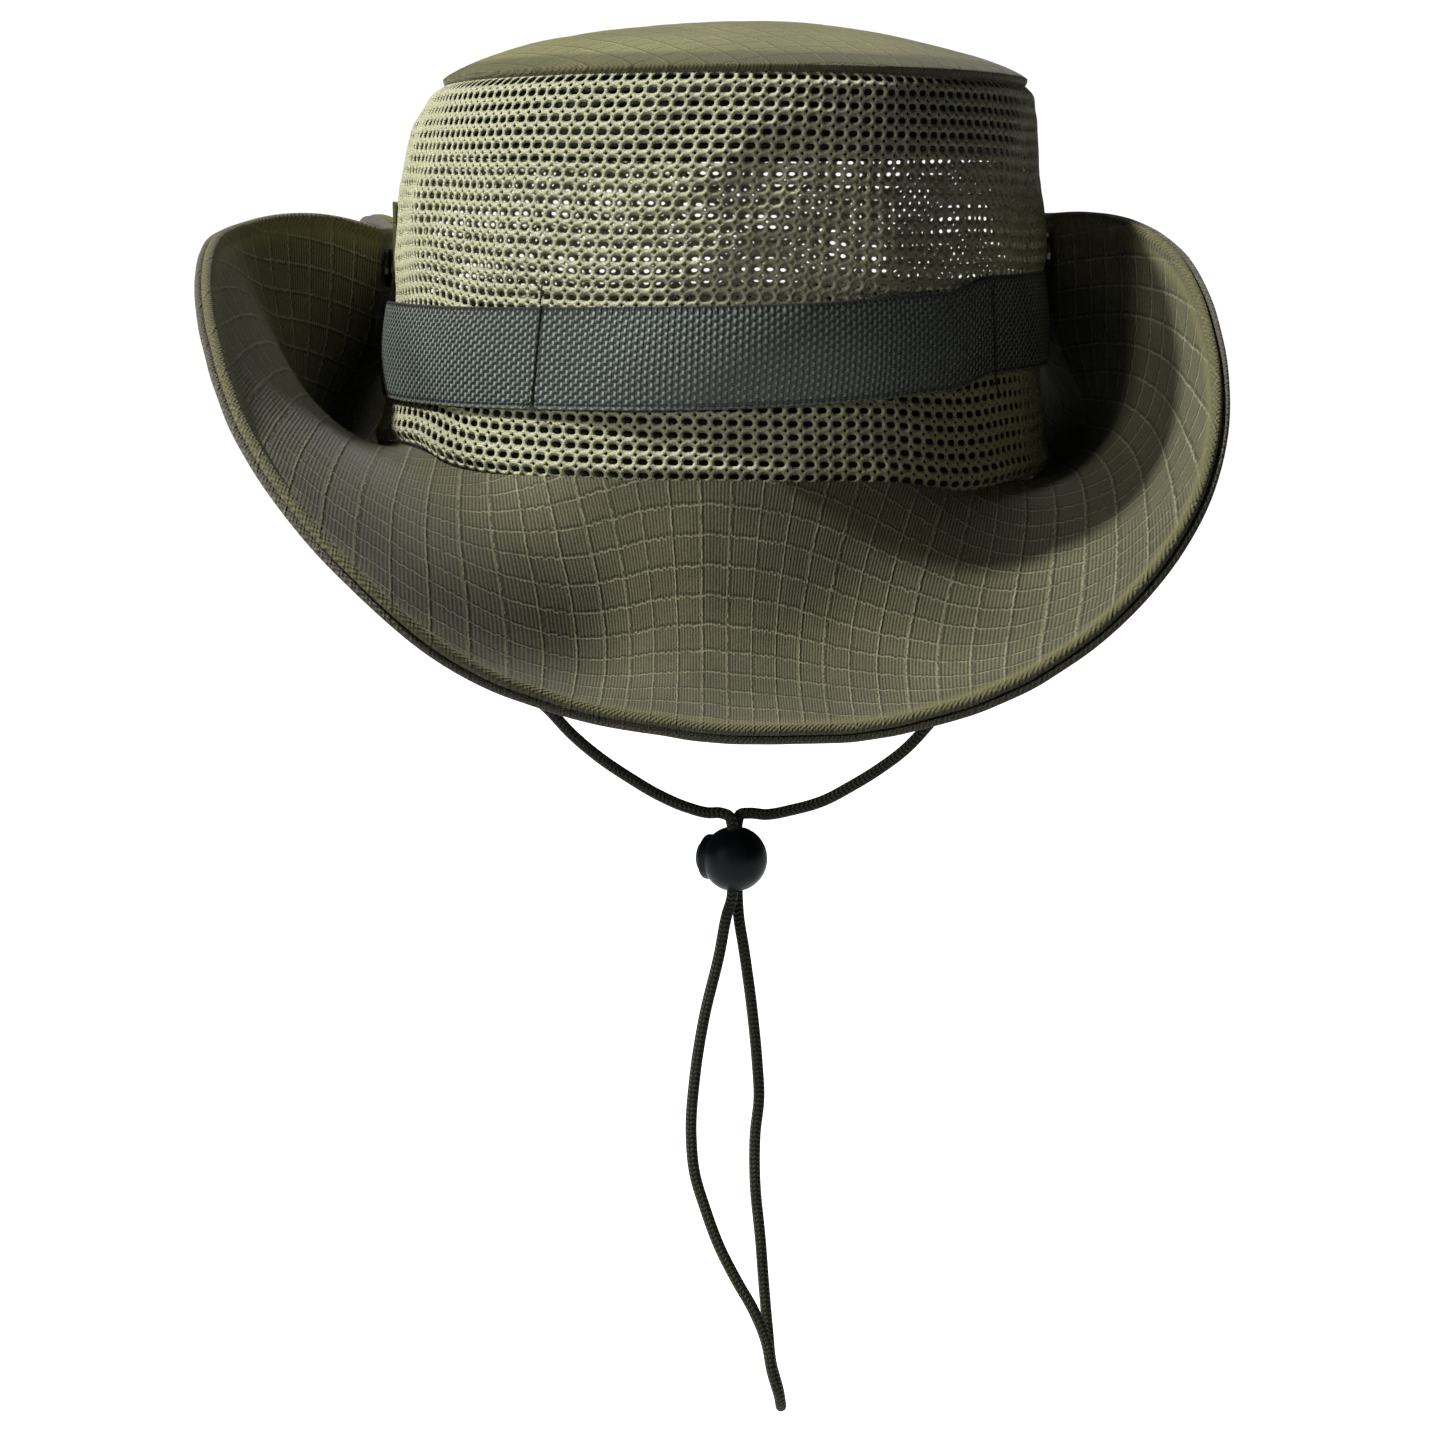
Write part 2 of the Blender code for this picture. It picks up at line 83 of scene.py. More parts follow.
FACING_TOP = 93.8
PATCH_TOP = 66.0
PATCH_HALF_DEG = 5.5
CORD_RADIUS = 1.5
BALL_RADIUS = 8.6
BALL_CENTRE = Vector((4.5, 0.0, -104.5))
PLUNGER_TURN_DEG = 25.0
PLUNGER_RADIUS = 4.6
STRAND_SPREAD = 1.65

# Fine detail
BRIM_TUCK = -2.4
BRIM_STEP_DEG = 0.75
BRIM_ROWS = 145
DOME_SIDES = 144
DOME_TURN_DEG = -26
NET_COLUMNS = 164
NET_ROWS = 30
NET_CELL_WIDTH = 3.66
NET_CELL_HEIGHT = 3.06
NET_TOP = 94.9
NET_ABOVE_SEAM = 2.0
YARN_HALF = 0.42
NET_HOLES = {"front": (0.318, 0.218), "back": (0.25, 0.15)}
CORD_STEP = 0.55
CORD_SIDES = 18
CORD_PATH_STEP = 3.0
RIPSTOP_SQUARE = 7.0
RIB_PITCH = 0.8
RIM_START = 64.0
RIM_RADIUS = 160.0
PIPING_PITCH = 1.3
WEBBING_COLUMN = 1.37
WEBBING_ROW = 1.9

# Camera, in metres and degrees
CAMERA_PLACE = (0.0013, -0.88, 0.060)
CAMERA_TILT_DEG = 81.7
CAMERA_LENS = 84.9
FLOOR_HEIGHT = -272
FLOOR_HALF = 5000.0

# Light: name, azimuth from the front towards -X, elevation, distance, size and power
SKY = 0.02
LAMPS = (
    ("key", 78, 50, 2.6, 0.2, 72),
    ("front_left", 48, 12, 2.6, 0.4, 17),
    ("back", 190, 42, 2.6, 0.9, 9),
)


# ---------------------------------------------------------------- curves and surfaces


def smooth(x, stations, values):
    """A Catmull-Rom curve through the values at the stations, read at x."""
    stations, values = np.asarray(stations, float), np.asarray(values, float)
    slopes = np.gradient(values, stations, axis=0)
    i = np.clip(np.searchsorted(stations, x, side="right") - 1, 0, len(stations) - 2)
    width = stations[i + 1] - stations[i]
    u = (x - stations[i]) / width
    return (
        (1 + 2 * u) * (1 - u) ** 2 * values[i]
        + u * (1 - u) ** 2 * width * slopes[i]
        + u * u * (3 - 2 * u) * values[i + 1]
        + u * u * (u - 1) * width * slopes[i + 1]
    )


def station(deg):
    """Where an angle reads the tables: -90 at the left snap, 0 in front or behind, 90 right."""
    t = math.radians(deg)
    folded = math.degrees(math.asin(math.sin(t))) if math.cos(t) >= 0 else 90 * math.sin(t)
    return max(-90.0, min(90.0, folded * 90 / (90 - SNAP_HALF_DEG)))


def seam_height(deg):
    return float(smooth(station(deg), STATIONS_DEG, SEAM_HEIGHTS))


def band_middle(deg):
    return BAND_HEIGHT + BAND_TILT * math.sin(math.radians(deg))


def crown_points(deg, z, offset):
    """Points on the crown's side, for arrays of angle, height and distance outwards."""
    deg, z, offset = np.broadcast_arrays(*(np.asarray(a, float) for a in (deg, z, offset)))
    u = np.maximum(0.0, z / CROWN_HEIGHT)
    half_width = HEAD_HALF_WIDTH - 6.8 * u**0.6 - 5.4 * u**10
    half_length = HEAD_HALF_LENGTH - 2.0 * u - 6.0 * u**6
    centre = HEAD_CENTRE_X + 3.0 * u + 3.0 * u**6
    t = np.radians(deg)
    nx, ny = np.sin(t) / half_width, -np.cos(t) / half_length
    length = np.hypot(nx, ny)
    x = centre + half_width * np.sin(t) + nx / length * offset
    y = -half_length * np.cos(t) + ny / length * offset
    return np.stack([x, y, z], axis=-1)


def distances(spots):
    """How far along a line of points each of them is."""
    return np.concatenate([[0], np.cumsum(np.linalg.norm(np.diff(spots, axis=0), axis=1))])


def angles_by_length(count):
    """Angles that divide a turn round the crown's middle into equal lengths."""
    fine = np.linspace(-180.0, 180.0, 1441)
    far = distances(crown_points(fine, 50.0, 0.0))
    return np.interp(np.linspace(0, far[-1], count + 1), far, fine)


def ripple(a, b, wavelength, seed):
    """Smooth unevenness between about -1 and 1, over two coordinates in millimetres."""
    waves = 7
    draw = np.random.default_rng(seed)
    total = np.zeros(np.broadcast(a, b).shape)
    for _ in range(waves):
        turn, phase = draw.uniform(0, 2 * np.pi, 2)
        k = 2 * np.pi / (wavelength * draw.uniform(0.7, 1.5))
        total = total + np.sin(k * (np.cos(turn) * a + np.sin(turn) * b) + phase)
    return total / math.sqrt(waves) / 1.4


def brim_surface(degrees):
    """The brim's middle surface with its normal and its outward direction, at 0.5 mm steps, and
    the seam's places and outward directions in plan."""
    slopes = np.array([smooth(station(d), STATIONS_DEG, BRIM_SLOPES) for d in degrees])
    fine = np.linspace(0, 1, BRIM_ROWS)
    phi = np.radians([smooth(s, (0, 0.35, 0.7, 1), slopes.T) for s in fine]).T
    step = BRIM_WIDTH / (BRIM_ROWS - 1)

    def run(f):
        ahead = np.cumsum((f[:, 1:] + f[:, :-1]) / 2 * step, axis=1)
        return np.concatenate([np.zeros((len(f), 1)), ahead], axis=1)

    out = run(np.cos(phi)) + BRIM_START
    up = run(np.sin(phi)) + np.array([seam_height(d) for d in degrees])[:, None]
    t = np.radians(degrees)
    n = np.stack([np.sin(t) / HEAD_HALF_WIDTH, -np.cos(t) / HEAD_HALF_LENGTH], axis=1)
    n /= np.linalg.norm(n, axis=1, keepdims=True)
    seam = np.stack(
        [HEAD_CENTRE_X + HEAD_HALF_WIDTH * np.sin(t), -HEAD_HALF_LENGTH * np.cos(t)], axis=1
    )
    plan = seam[:, None, :] + n[:, None, :] * out[:, :, None]
    middle = np.concatenate([plan, up[:, :, None]], axis=2)
    ahead = np.gradient(middle, axis=1)
    ahead /= np.linalg.norm(ahead, axis=2, keepdims=True)
    normal = np.cross(ahead, np.gradient(middle, np.radians(degrees), axis=0))
    normal /= np.linalg.norm(normal, axis=2, keepdims=True)
    return middle, normal, ahead, seam, n


def through(points, spacing):
    """Evenly spaced points on the smooth curve through the route points."""
    points = np.asarray(points, float)
    far = distances(points)
    fine = np.array([smooth(s, far, points) for s in np.linspace(0, far[-1], 1200)])
    far = distances(fine)
    at = np.linspace(0, far[-1], max(4, round(far[-1] / spacing)) + 1)
    return np.stack([np.interp(at, far, fine[:, k]) for k in range(3)], axis=1)


# ---------------------------------------------------------------- meshes


def piece(name, points, faces, look, flat=None, crease=None):
    """A smooth-shaded piece from points in millimetres. flat is a pattern place for each point,
    and edges sharper than crease, in degrees, stay sharp."""
    mesh = bpy.data.meshes.new(name)
    mesh.from_pydata((np.asarray(points, float).reshape(-1, 3) * MM).tolist(), [], faces)
    if flat is not None:
        stored = mesh.attributes.new("flat", "FLOAT_VECTOR", "POINT")
        stored.data.foreach_set("vector", flat.ravel())
    bm = bmesh.new()
    bm.from_mesh(mesh)
    bmesh.ops.recalc_face_normals(bm, faces=bm.faces[:])
    bm.to_mesh(mesh)
    bm.free()
    mesh.shade_smooth()
    if crease is not None:
        mesh.set_sharp_from_angle(angle=math.radians(crease))
    made = bpy.data.objects.new(name, mesh)
    bpy.context.scene.collection.objects.link(made)
    mesh.materials.append(look)
    return made


def ring_faces(count, sides):
    """Faces over a row of rings, with a cap at each end."""
    a, b = np.meshgrid(np.arange(count - 1), np.arange(sides), indexing="ij")
    c, d = a + 1, (b + 1) % sides
    corners = [a * sides + b, c * sides + b, c * sides + d, a * sides + d]
    caps = [list(range(sides)), [(count - 1) * sides + k for k in range(sides)]]
    return np.stack(corners, axis=-1).reshape(-1, 4).tolist() + caps


def loft(name, rings, look, flat=None, crease=None):
    """A tube through rings of points, capped at both ends."""
    return piece(name, rings, ring_faces(*rings.shape[:2]), look, flat, crease)


def tube(path, radius, sides):
    """Rings round a path that don't twist, and the pattern place of each of their points: the
    cosine and sine of its angle, and how far along it is."""
    path = np.asarray(path, float)
    ahead = np.gradient(path, axis=0)
    ahead /= np.linalg.norm(ahead, axis=1, keepdims=True)
    side = np.cross(ahead[0], (0.3, 1.0, 0.1))
    side /= np.linalg.norm(side)
    rings, places = [], []
    turn = np.arange(sides) * 2 * np.pi / sides
    for p, a, f in zip(path, ahead, distances(path)):
        side = side - a * side.dot(a)
        side /= np.linalg.norm(side)
        other = np.cross(a, side)
        rings.append(p + radius * (np.cos(turn)[:, None] * side + np.sin(turn)[:, None] * other))
        places.append(np.stack([np.cos(turn), np.sin(turn), np.full(sides, f)], axis=1))
    return np.array(rings), np.array(places)


def joined(name, parts, look):
    """One piece from several closed shells, each (points, faces, flat)."""
    points, faces, flats, first = [], [], [], 0
    for spots, own, flat in parts:
        points.append(spots.reshape(-1, 3))
        flats.append(flat.reshape(-1, 3))
        faces += [[i + first for i in face] for face in own]
        first += len(points[-1])
    return piece(name, np.concatenate(points), faces, look, np.concatenate(flats))


def thread_shell(path, radius, sides=8):
    """A closed shell of thread along a path: points, faces and pattern places."""
    rings, places = tube(path, radius, sides)
    return rings, ring_faces(len(rings), sides), places


def turned(profile, centre, direction, segments=64):
    """Points and faces of a solid turned about a line: (distance along, radius) pairs."""
    axes = np.array(Vector(direction).to_track_quat("Z", "Y").to_matrix())
    turn = np.arange(segments) * 2 * np.pi / segments
    along = np.array([p[0] for p in profile])[:, None]
    radius = np.array([max(p[1], 1e-3) for p in profile])[:, None]
    along = np.broadcast_to(along, (len(profile), segments))
    local = np.stack([radius * np.cos(turn), radius * np.sin(turn), along], axis=-1)
    spots = local @ axes.T + np.asarray(centre, float)
    return spots, ring_faces(len(profile), segments)


def carve(target, shell):
    """Cuts a closed shell out of a piece."""
    cutter = piece("cutter", *shell, target.data.materials[0])
    modifier = target.modifiers.new("cut", "BOOLEAN")
    modifier.operation, modifier.solver, modifier.object = "DIFFERENCE", "EXACT", cutter
    bpy.context.view_layer.update()
    ready = target.evaluated_get(bpy.context.evaluated_depsgraph_get())
    mesh = bpy.data.meshes.new_from_object(ready)
    target.modifiers.clear()
    target.data = mesh
    bpy.data.objects.remove(cutter)
    mesh.shade_smooth()
    mesh.set_sharp_from_angle(angle=math.radians(38))


def paint(obj, look):
    obj.data.materials.clear()
    obj.data.materials.append(look)


# ---------------------------------------------------------------- looks


def colour(r, g, b):
    """A colour given as three numbers from 0 to 255, as a shader takes it."""
    linear = (
        c / 255 / 12.92 if c / 255 <= 0.04045 else ((c / 255 + 0.055) / 1.055) ** 2.4
        for c in (r, g, b)
    )
    return (*linear, 1.0)


class Look:
    """A material and short ways to add nodes to it."""

    def __init__(self, name, **sockets):
        self.material = bpy.data.materials.new(name)
        self.material.use_nodes = True
        self.tree = self.material.node_tree
        self.shader = self.tree.nodes["Principled BSDF"]
        for socket, value in sockets.items():
            self.shader.inputs[socket.replace("_", " ")].default_value = value

    def node(self, kind, inputs, output=0, **settings):
        made = self.tree.nodes.new(kind)
        for key, value in settings.items():
            setattr(made, key, value)
        for key, value in inputs.items():
            socket = made.inputs[key]
            if isinstance(value, bpy.types.NodeSocket):
                self.tree.links.new(value, socket)
            else:
                socket.default_value = value
        return made.outputs[output]

    def math(self, operation, *values):
        return self.node("ShaderNodeMath", dict(enumerate(values)), operation=operation)

    def add(self, a, b):
        return self.math("ADD", a, b)

    def times(self, a, b):
        return self.math("MULTIPLY", a, b)

    def wave(self, value, pitch, phase=0.0):
        """A cosine of this pitch, from 0 to 1."""
        angle = self.math("MULTIPLY_ADD", value, 2 * math.pi / pitch, phase)
        return self.math("MULTIPLY_ADD", self.math("COSINE", angle), 0.5, 0.5)

    def ramp(self, value, low, high, to_low=0.0, to_high=1.0):
        """A smooth step: to_low at low, to_high at high."""
        inputs = {
            "Value": value, "From Min": low, "From Max": high, "To Min": to_low, "To Max": to_high,
        }
        return self.node("ShaderNodeMapRange", inputs, interpolation_type="SMOOTHSTEP")

    def noise(self, vector, scale, detail=2.0, roughness=0.5):
        inputs = {"Vector": vector, "Scale": scale, "Detail": detail, "Roughness": roughness}
        return self.node("ShaderNodeTexNoise", inputs)

    def blend(self, factor, one, two, mode="MIX"):
        inputs = {0: factor, 6: one, 7: two}
        return self.node("ShaderNodeMix", inputs, 2, data_type="RGBA", blend_type=mode)

    def flat(self):
        """The pattern place stored on the mesh: the vector and its three numbers."""
        vector = self.node("ShaderNodeAttribute", {}, "Vector", attribute_name="flat")
        parts = self.tree.nodes.new("ShaderNodeSeparateXYZ")
        self.tree.links.new(vector, parts.inputs[0])
        return vector, *parts.outputs

    def place(self):
        """The place in the object, in millimetres."""
        spot = self.node("ShaderNodeTexCoord", {}, "Object")
        return self.node("ShaderNodeVectorMath", {0: spot, 3: 1000.0}, operation="SCALE")

    def finish(self, base, height, depth, strength=1.0, roughness=None):
        """Joins the colour, and a bump of this depth in millimetres, to the shader."""
        self.tree.links.new(base, self.shader.inputs["Base Color"])
        inputs = {"Height": height, "Distance": depth * MM, "Strength": strength}
        self.tree.links.new(self.node("ShaderNodeBump", inputs), self.shader.inputs["Normal"])
        if roughness is not None:
            self.tree.links.new(roughness, self.shader.inputs["Roughness"])
        return self.material


def ripstop_look(name, low, high, line, rim, brim=True):
    """Ribbed ripstop: fine ribs, and a raised thread with a groove beside it every 7 mm both ways.
    The threads are lightened with a painted highlight over their own colour, and the groove beside
    each is darkened with painted shade. The third number of the pattern place is the distance out:
    near the edge the cloth takes the rim colour, a paler edge on the brim and painted shade on the
    crown top. On the brim the ribs run outwards, and the edge has the twist of a covered cord,
    with painted shade in the dips between its turns."""
    look = Look(
        name, Roughness=0.8, Specular_IOR_Level=0.28, Sheen_Weight=0.2, Sheen_Roughness=0.45
    )
    spot, x, y, out = look.flat()
    drift = look.noise(spot, 0.05, 1.0)
    x = look.math("MULTIPLY_ADD", drift, 0.35, x)
    y = look.math("MULTIPLY_ADD", drift, -0.3, y)

    def jagged(value, other, amount):
        """The value, moved by a different small amount on each rib."""
        rib = look.math("FLOOR", look.times(other, 1 / RIB_PITCH))
        loose = look.node("ShaderNodeTexWhiteNoise", {"W": rib}, noise_dimensions="1D")
        return look.math("MULTIPLY_ADD", look.math("SUBTRACT", loose, 0.5), amount, value)

    def line_at(value):
        """A thread and the groove on its +X or +Y side."""
        square = look.math("FRACT", look.times(value, 1 / RIPSTOP_SQUARE))
        side = look.times(look.math("SUBTRACT", square, 0.5), RIPSTOP_SQUARE)
        thread = look.ramp(look.math("ABSOLUTE", side), 0.34, 0.12)
        gap = look.math("ABSOLUTE", look.math("SUBTRACT", side, 0.68))
        return thread, look.ramp(gap, 0.48, 0.14)

    ribs = look.wave(x, RIB_PITCH)
    if brim:
        lead = look.math("SUBTRACT", look.math("ABSOLUTE", y), look.math("ABSOLUTE", x))
        share = look.ramp(lead, -9.0, 5.0)
        ribs = look.node("ShaderNodeMix", {0: share, 2: look.wave(y, RIB_PITCH), 3: ribs}, 0)
    thread_x, groove_x = line_at(jagged(x, y, 0.3))
    thread_y, groove_y = line_at(jagged(y, x, 0.6))
    grain = look.noise(spot, 1.7, 2.0, 0.7)
    fleck = look.noise(spot, 0.5, 3.0, 0.7)
    cloud = look.noise(spot, 0.028, 2.0)
    threads = look.math("MAXIMUM", thread_x, thread_y)
    grooves_and_shade = look.math("MAXIMUM", groove_x, groove_y)
    grooves_and_shade = look.times(grooves_and_shade, look.math("SUBTRACT", 1.0, threads))
    tone = look.math("MULTIPLY_ADD", ribs, 0.5, look.times(grain, 0.8))
    cloth = look.blend(look.ramp(tone, 0.15, 1.1), colour(*low), colour(*high))
    broken = look.ramp(fleck, 0.34, 0.56, 0.12, 0.6)
    # the raised threads take the pale line colour: the grid's own thread colour, lightened with a
    # painted highlight
    cloth = look.blend(look.times(threads, broken), cloth, colour(*line))
    # painted shade: the groove beside each thread is darkened
    cloth = look.blend(look.times(grooves_and_shade, 0.4), cloth, colour(10, 11, 6))
    shade = look.ramp(look.add(cloud, look.times(fleck, 0.35)), 0.4, 0.95, 0.84, 1.16)
    shade = look.node("ShaderNodeCombineColor", {0: shade, 1: shade, 2: shade})
    cloth = look.blend(1.0, cloth, shade, "MULTIPLY")
    # near the edge the cloth blends to the rim colour: a paler edge on the brim, painted shade on
    # the crown top
    near = look.ramp(out, RIM_START, RIM_START + 4)
    cloth = look.blend(look.times(near, 0.6), cloth, colour(*rim))
    height = look.math("MULTIPLY_ADD", threads, 0.22, look.times(ribs, 0.16))
    height = look.math("MULTIPLY_ADD", grooves_and_shade, -0.22, height)
    height = look.math("MULTIPLY_ADD", grain, 0.3, height)
    if brim:
        around = look.times(look.math("ARCTAN2", y, x), RIM_RADIUS)
        twist = look.wave(look.math("MULTIPLY_ADD", out, 0.9, around), PIPING_PITCH)
        fine = look.wave(look.math("MULTIPLY_ADD", out, -0.5, around), PIPING_PITCH / 2)
        bead = look.ramp(out, RIM_START + 4, RIM_START + 5)
        # painted shade: the dips between the turns of the edge cord are darkened
        hollow_shade = look.times(bead, look.times(look.math("SUBTRACT", 1.0, twist), 0.3))
        cloth = look.blend(hollow_shade, cloth, colour(16, 16, 9))
        height = look.math("MULTIPLY_ADD", look.times(twist, bead), 0.4, height)
        height = look.math("MULTIPLY_ADD", look.times(fine, bead), 0.15, height)
    return look.finish(cloth, height, 0.42)


def net_look():
    """Knitted yarn, with the fine turns of its strands."""
    look = Look(
        "net_yarn", Roughness=0.62, Specular_IOR_Level=0.35, Sheen_Weight=0.2, Sheen_Roughness=0.4
    )
    spot = look.place()
    fine = look.noise(spot, 2.6, 2.0, 0.6)
    patch = look.noise(spot, 0.06, 2.0)
    inputs = {"Vector": spot, "Scale": 0.9, "Distortion": 3.5, "Detail": 2.0}
    twist = look.node(
        "ShaderNodeTexWave", inputs, 1, wave_type="BANDS", bands_direction="DIAGONAL"
    )
    yarn = look.blend(look.ramp(fine, 0.3, 0.7), colour(170, 170, 132), colour(240, 237, 200))
    yarn = look.blend(look.ramp(patch, 0.3, 0.75, 0.0, 0.3), yarn, colour(188, 192, 146))
    return look.finish(yarn, look.math("MULTIPLY_ADD", twist, 0.5, fine), 0.2)


def webbing_look():
    """Woven tape: columns of dark yarn with pale dashes, every other column half a row higher,
    steps that link the dashes, a scalloped dark top edge and a pale selvage along the bottom."""
    half_column, half_row = 0.36, 0.64
    look = Look("webbing_weave", Roughness=0.5, Specular_IOR_Level=0.5, Sheen_Weight=0.15)
    spot, along, across, _ = look.flat()
    drift = look.noise(spot, 0.12, 2.0)
    along = look.math("MULTIPLY_ADD", drift, 0.8, along)
    places = look.times(along, 1 / WEBBING_COLUMN)
    column = look.math("FLOOR", places)
    odd = look.math("MODULO", look.add(column, 2000.0), 2.0)
    beside = look.math("ABSOLUTE", look.math("SUBTRACT", look.math("FRACT", places), 0.5))
    row = look.math("MULTIPLY_ADD", odd, 0.5, look.times(across, 1 / WEBBING_ROW))
    above = look.math("ABSOLUTE", look.math("SUBTRACT", look.math("FRACT", row), 0.5))
    beside = look.times(beside, WEBBING_COLUMN / half_column)
    above = look.times(above, WEBBING_ROW / half_row)
    dashes = look.ramp(look.math("MAXIMUM", beside, above), 1.15, 0.7)
    slope = look.math("MULTIPLY_ADD", places, -0.5, look.times(across, 1 / WEBBING_ROW))
    step = look.math("FRACT", look.add(slope, 200.25))
    step = look.math("ABSOLUTE", look.math("SUBTRACT", step, 0.5))
    links = look.times(look.ramp(step, 0.22, 0.08), 0.4)
    grain = look.noise(spot, 1.1, 2.0)
    light = look.times(look.math("MAXIMUM", dashes, links), look.ramp(grain, 0.25, 0.65, 0.5, 1.0))
    weave = look.blend(light, colour(14, 27, 25), colour(164, 178, 162))
    scallop = look.math("MULTIPLY_ADD", look.wave(along, WEBBING_COLUMN), 0.7, across)
    top = look.ramp(scallop, BAND_WIDTH - 1.0, BAND_WIDTH - 0.5)
    weave = look.blend(top, weave, colour(14, 20, 18))
    shadow = look.times(look.ramp(across, 0.75, 0.95), look.ramp(across, 1.6, 1.3))
    weave = look.blend(look.times(shadow, 0.8), weave, colour(10, 14, 13))
    selvage = look.ramp(across, 0.85, 0.7)
    weave = look.blend(look.times(selvage, 0.5), weave, colour(120, 132, 116))
    columns = look.times(look.wave(along, WEBBING_COLUMN, math.pi), 0.45)
    height = look.math("MULTIPLY_ADD", dashes, 0.9, columns)
    height = look.math("MULTIPLY_ADD", links, 0.5, height)
    height = look.math("MULTIPLY_ADD", look.add(top, shadow), -0.8, height)
    return look.finish(weave, height, 0.35)


def cord_look():
    """Braid: chevrons of fine strands in columns round the cord, warmer towards its lower end."""
    look = Look("cord_braid", Roughness=0.65, Specular_IOR_Level=0.15, Sheen_Weight=0.08)
    spot, cosine, sine, far = look.flat()
    turn = look.times(look.math("ARCTAN2", sine, cosine), 4 / math.pi)
    zigzag = look.math("PINGPONG", look.add(turn, 8.0), 1.0)
    strand = look.wave(look.math("MULTIPLY_ADD", zigzag, 0.62, far), 1.25)
    seam = look.ramp(zigzag, 0.0, 0.22)
    other = look.ramp(zigzag, 1.0, 0.8)
    body = look.times(strand, look.math("MULTIPLY_ADD", look.times(seam, other), 0.7, 0.3))
    grain = look.noise(spot, 3.0, 2.0)
    tone = look.times(body, look.ramp(grain, 0.2, 0.7, 0.6, 1.0))
    hanging = look.node("ShaderNodeSeparateXYZ", {0: look.place()}, 2)
    warm = look.ramp(hanging, -105.0, -220.0, 0.0, 0.8)
    strands = look.blend(warm, colour(70, 76, 54), colour(96, 94, 50))
    # painted shade: the braid goes to near black in the gaps between strands and between the
    # columns
    braid = look.blend(look.ramp(tone, 0.1, 0.85), colour(12, 15, 9), strands)
    return look.finish(braid, body, 0.4)


def plain_cloth(name, low, high, rib=0.8, roughness=0.9):
    """Plain dark cloth with a fine weave."""
    look = Look(name, Roughness=roughness, Specular_IOR_Level=0.2, Sheen_Weight=0.1)
    spot, x, y, _ = look.flat()
    weave = look.times(look.wave(x, rib), look.wave(y, rib))
    grain = look.noise(spot, 1.2, 2.0)
    tone = look.math("MULTIPLY_ADD", weave, 0.6, look.times(grain, 0.7))
    cloth = look.blend(look.ramp(tone, 0.2, 1.0), colour(*low), colour(*high))
    return look.finish(cloth, tone, 0.15)


def plastic_look():
    """Satin black plastic with a little wear."""
    look = Look("black_plastic_satin", Roughness=0.42, Specular_IOR_Level=0.1)
    spot = look.place()
    grain = look.noise(spot, 1.6, 3.0, 0.6)
    wear = look.noise(spot, 0.22, 3.0)
    tone = look.blend(look.ramp(wear, 0.35, 0.75), colour(9, 15, 18), colour(17, 25, 28))
    return look.finish(tone, grain, 0.02, 0.6, look.ramp(wear, 0.3, 0.7, 0.38, 0.52))


def metal_look(name, low, high, roughness):
    """Metal with a little wear in its colour and its gloss."""
    look = Look(name, Metallic=0.9, Roughness=roughness)
    wear = look.noise(look.place(), 0.5, 4.0, 0.6)
    tone = look.blend(look.ramp(wear, 0.35, 0.65), colour(*low), colour(*high))
    gloss = look.ramp(wear, 0.3, 0.7, roughness - 0.08, roughness + 0.1)
    return look.finish(tone, wear, 0.02, 0.5, gloss)


OLIVE = ((46, 45, 31), (124, 120, 90), (172, 168, 132))
RIPSTOP = ripstop_look("ripstop_olive", *OLIVE, rim=(132, 127, 84))
RIPSTOP_UNDER = ripstop_look("ripstop_under", *OLIVE, rim=(122, 116, 103))
# a paler copy of the olive ripstop for the crown top and the patches: painted light for the top's
# brighter look, with painted shade near the dome's edge from its dark rim colour
RIPSTOP_TOP_LIGHT_AND_SHADE = ripstop_look(
    "ripstop_top_painted_light_and_shade", (88, 86, 52), (162, 157, 102), (174, 169, 118), rim=(62, 60, 38), brim=False
)
NET = net_look()
WEBBING = webbing_look()
BRAID = cord_look()
DARK_CLOTH = plain_cloth("lining_cloth", (16, 19, 14), (42, 47, 36))
THREAD = plain_cloth("stitch_thread", (38, 42, 22), (78, 82, 50), 0.5, 0.7)
PLASTIC = plastic_look()
SNAP_METAL = metal_look("snap_dark_metal", (58, 58, 54), (92, 91, 84), 0.38)
STEEL = metal_look("spring_steel_wire", (150, 150, 150), (200, 200, 198), 0.22)


# ---------------------------------------------------------------- camera, light and floor


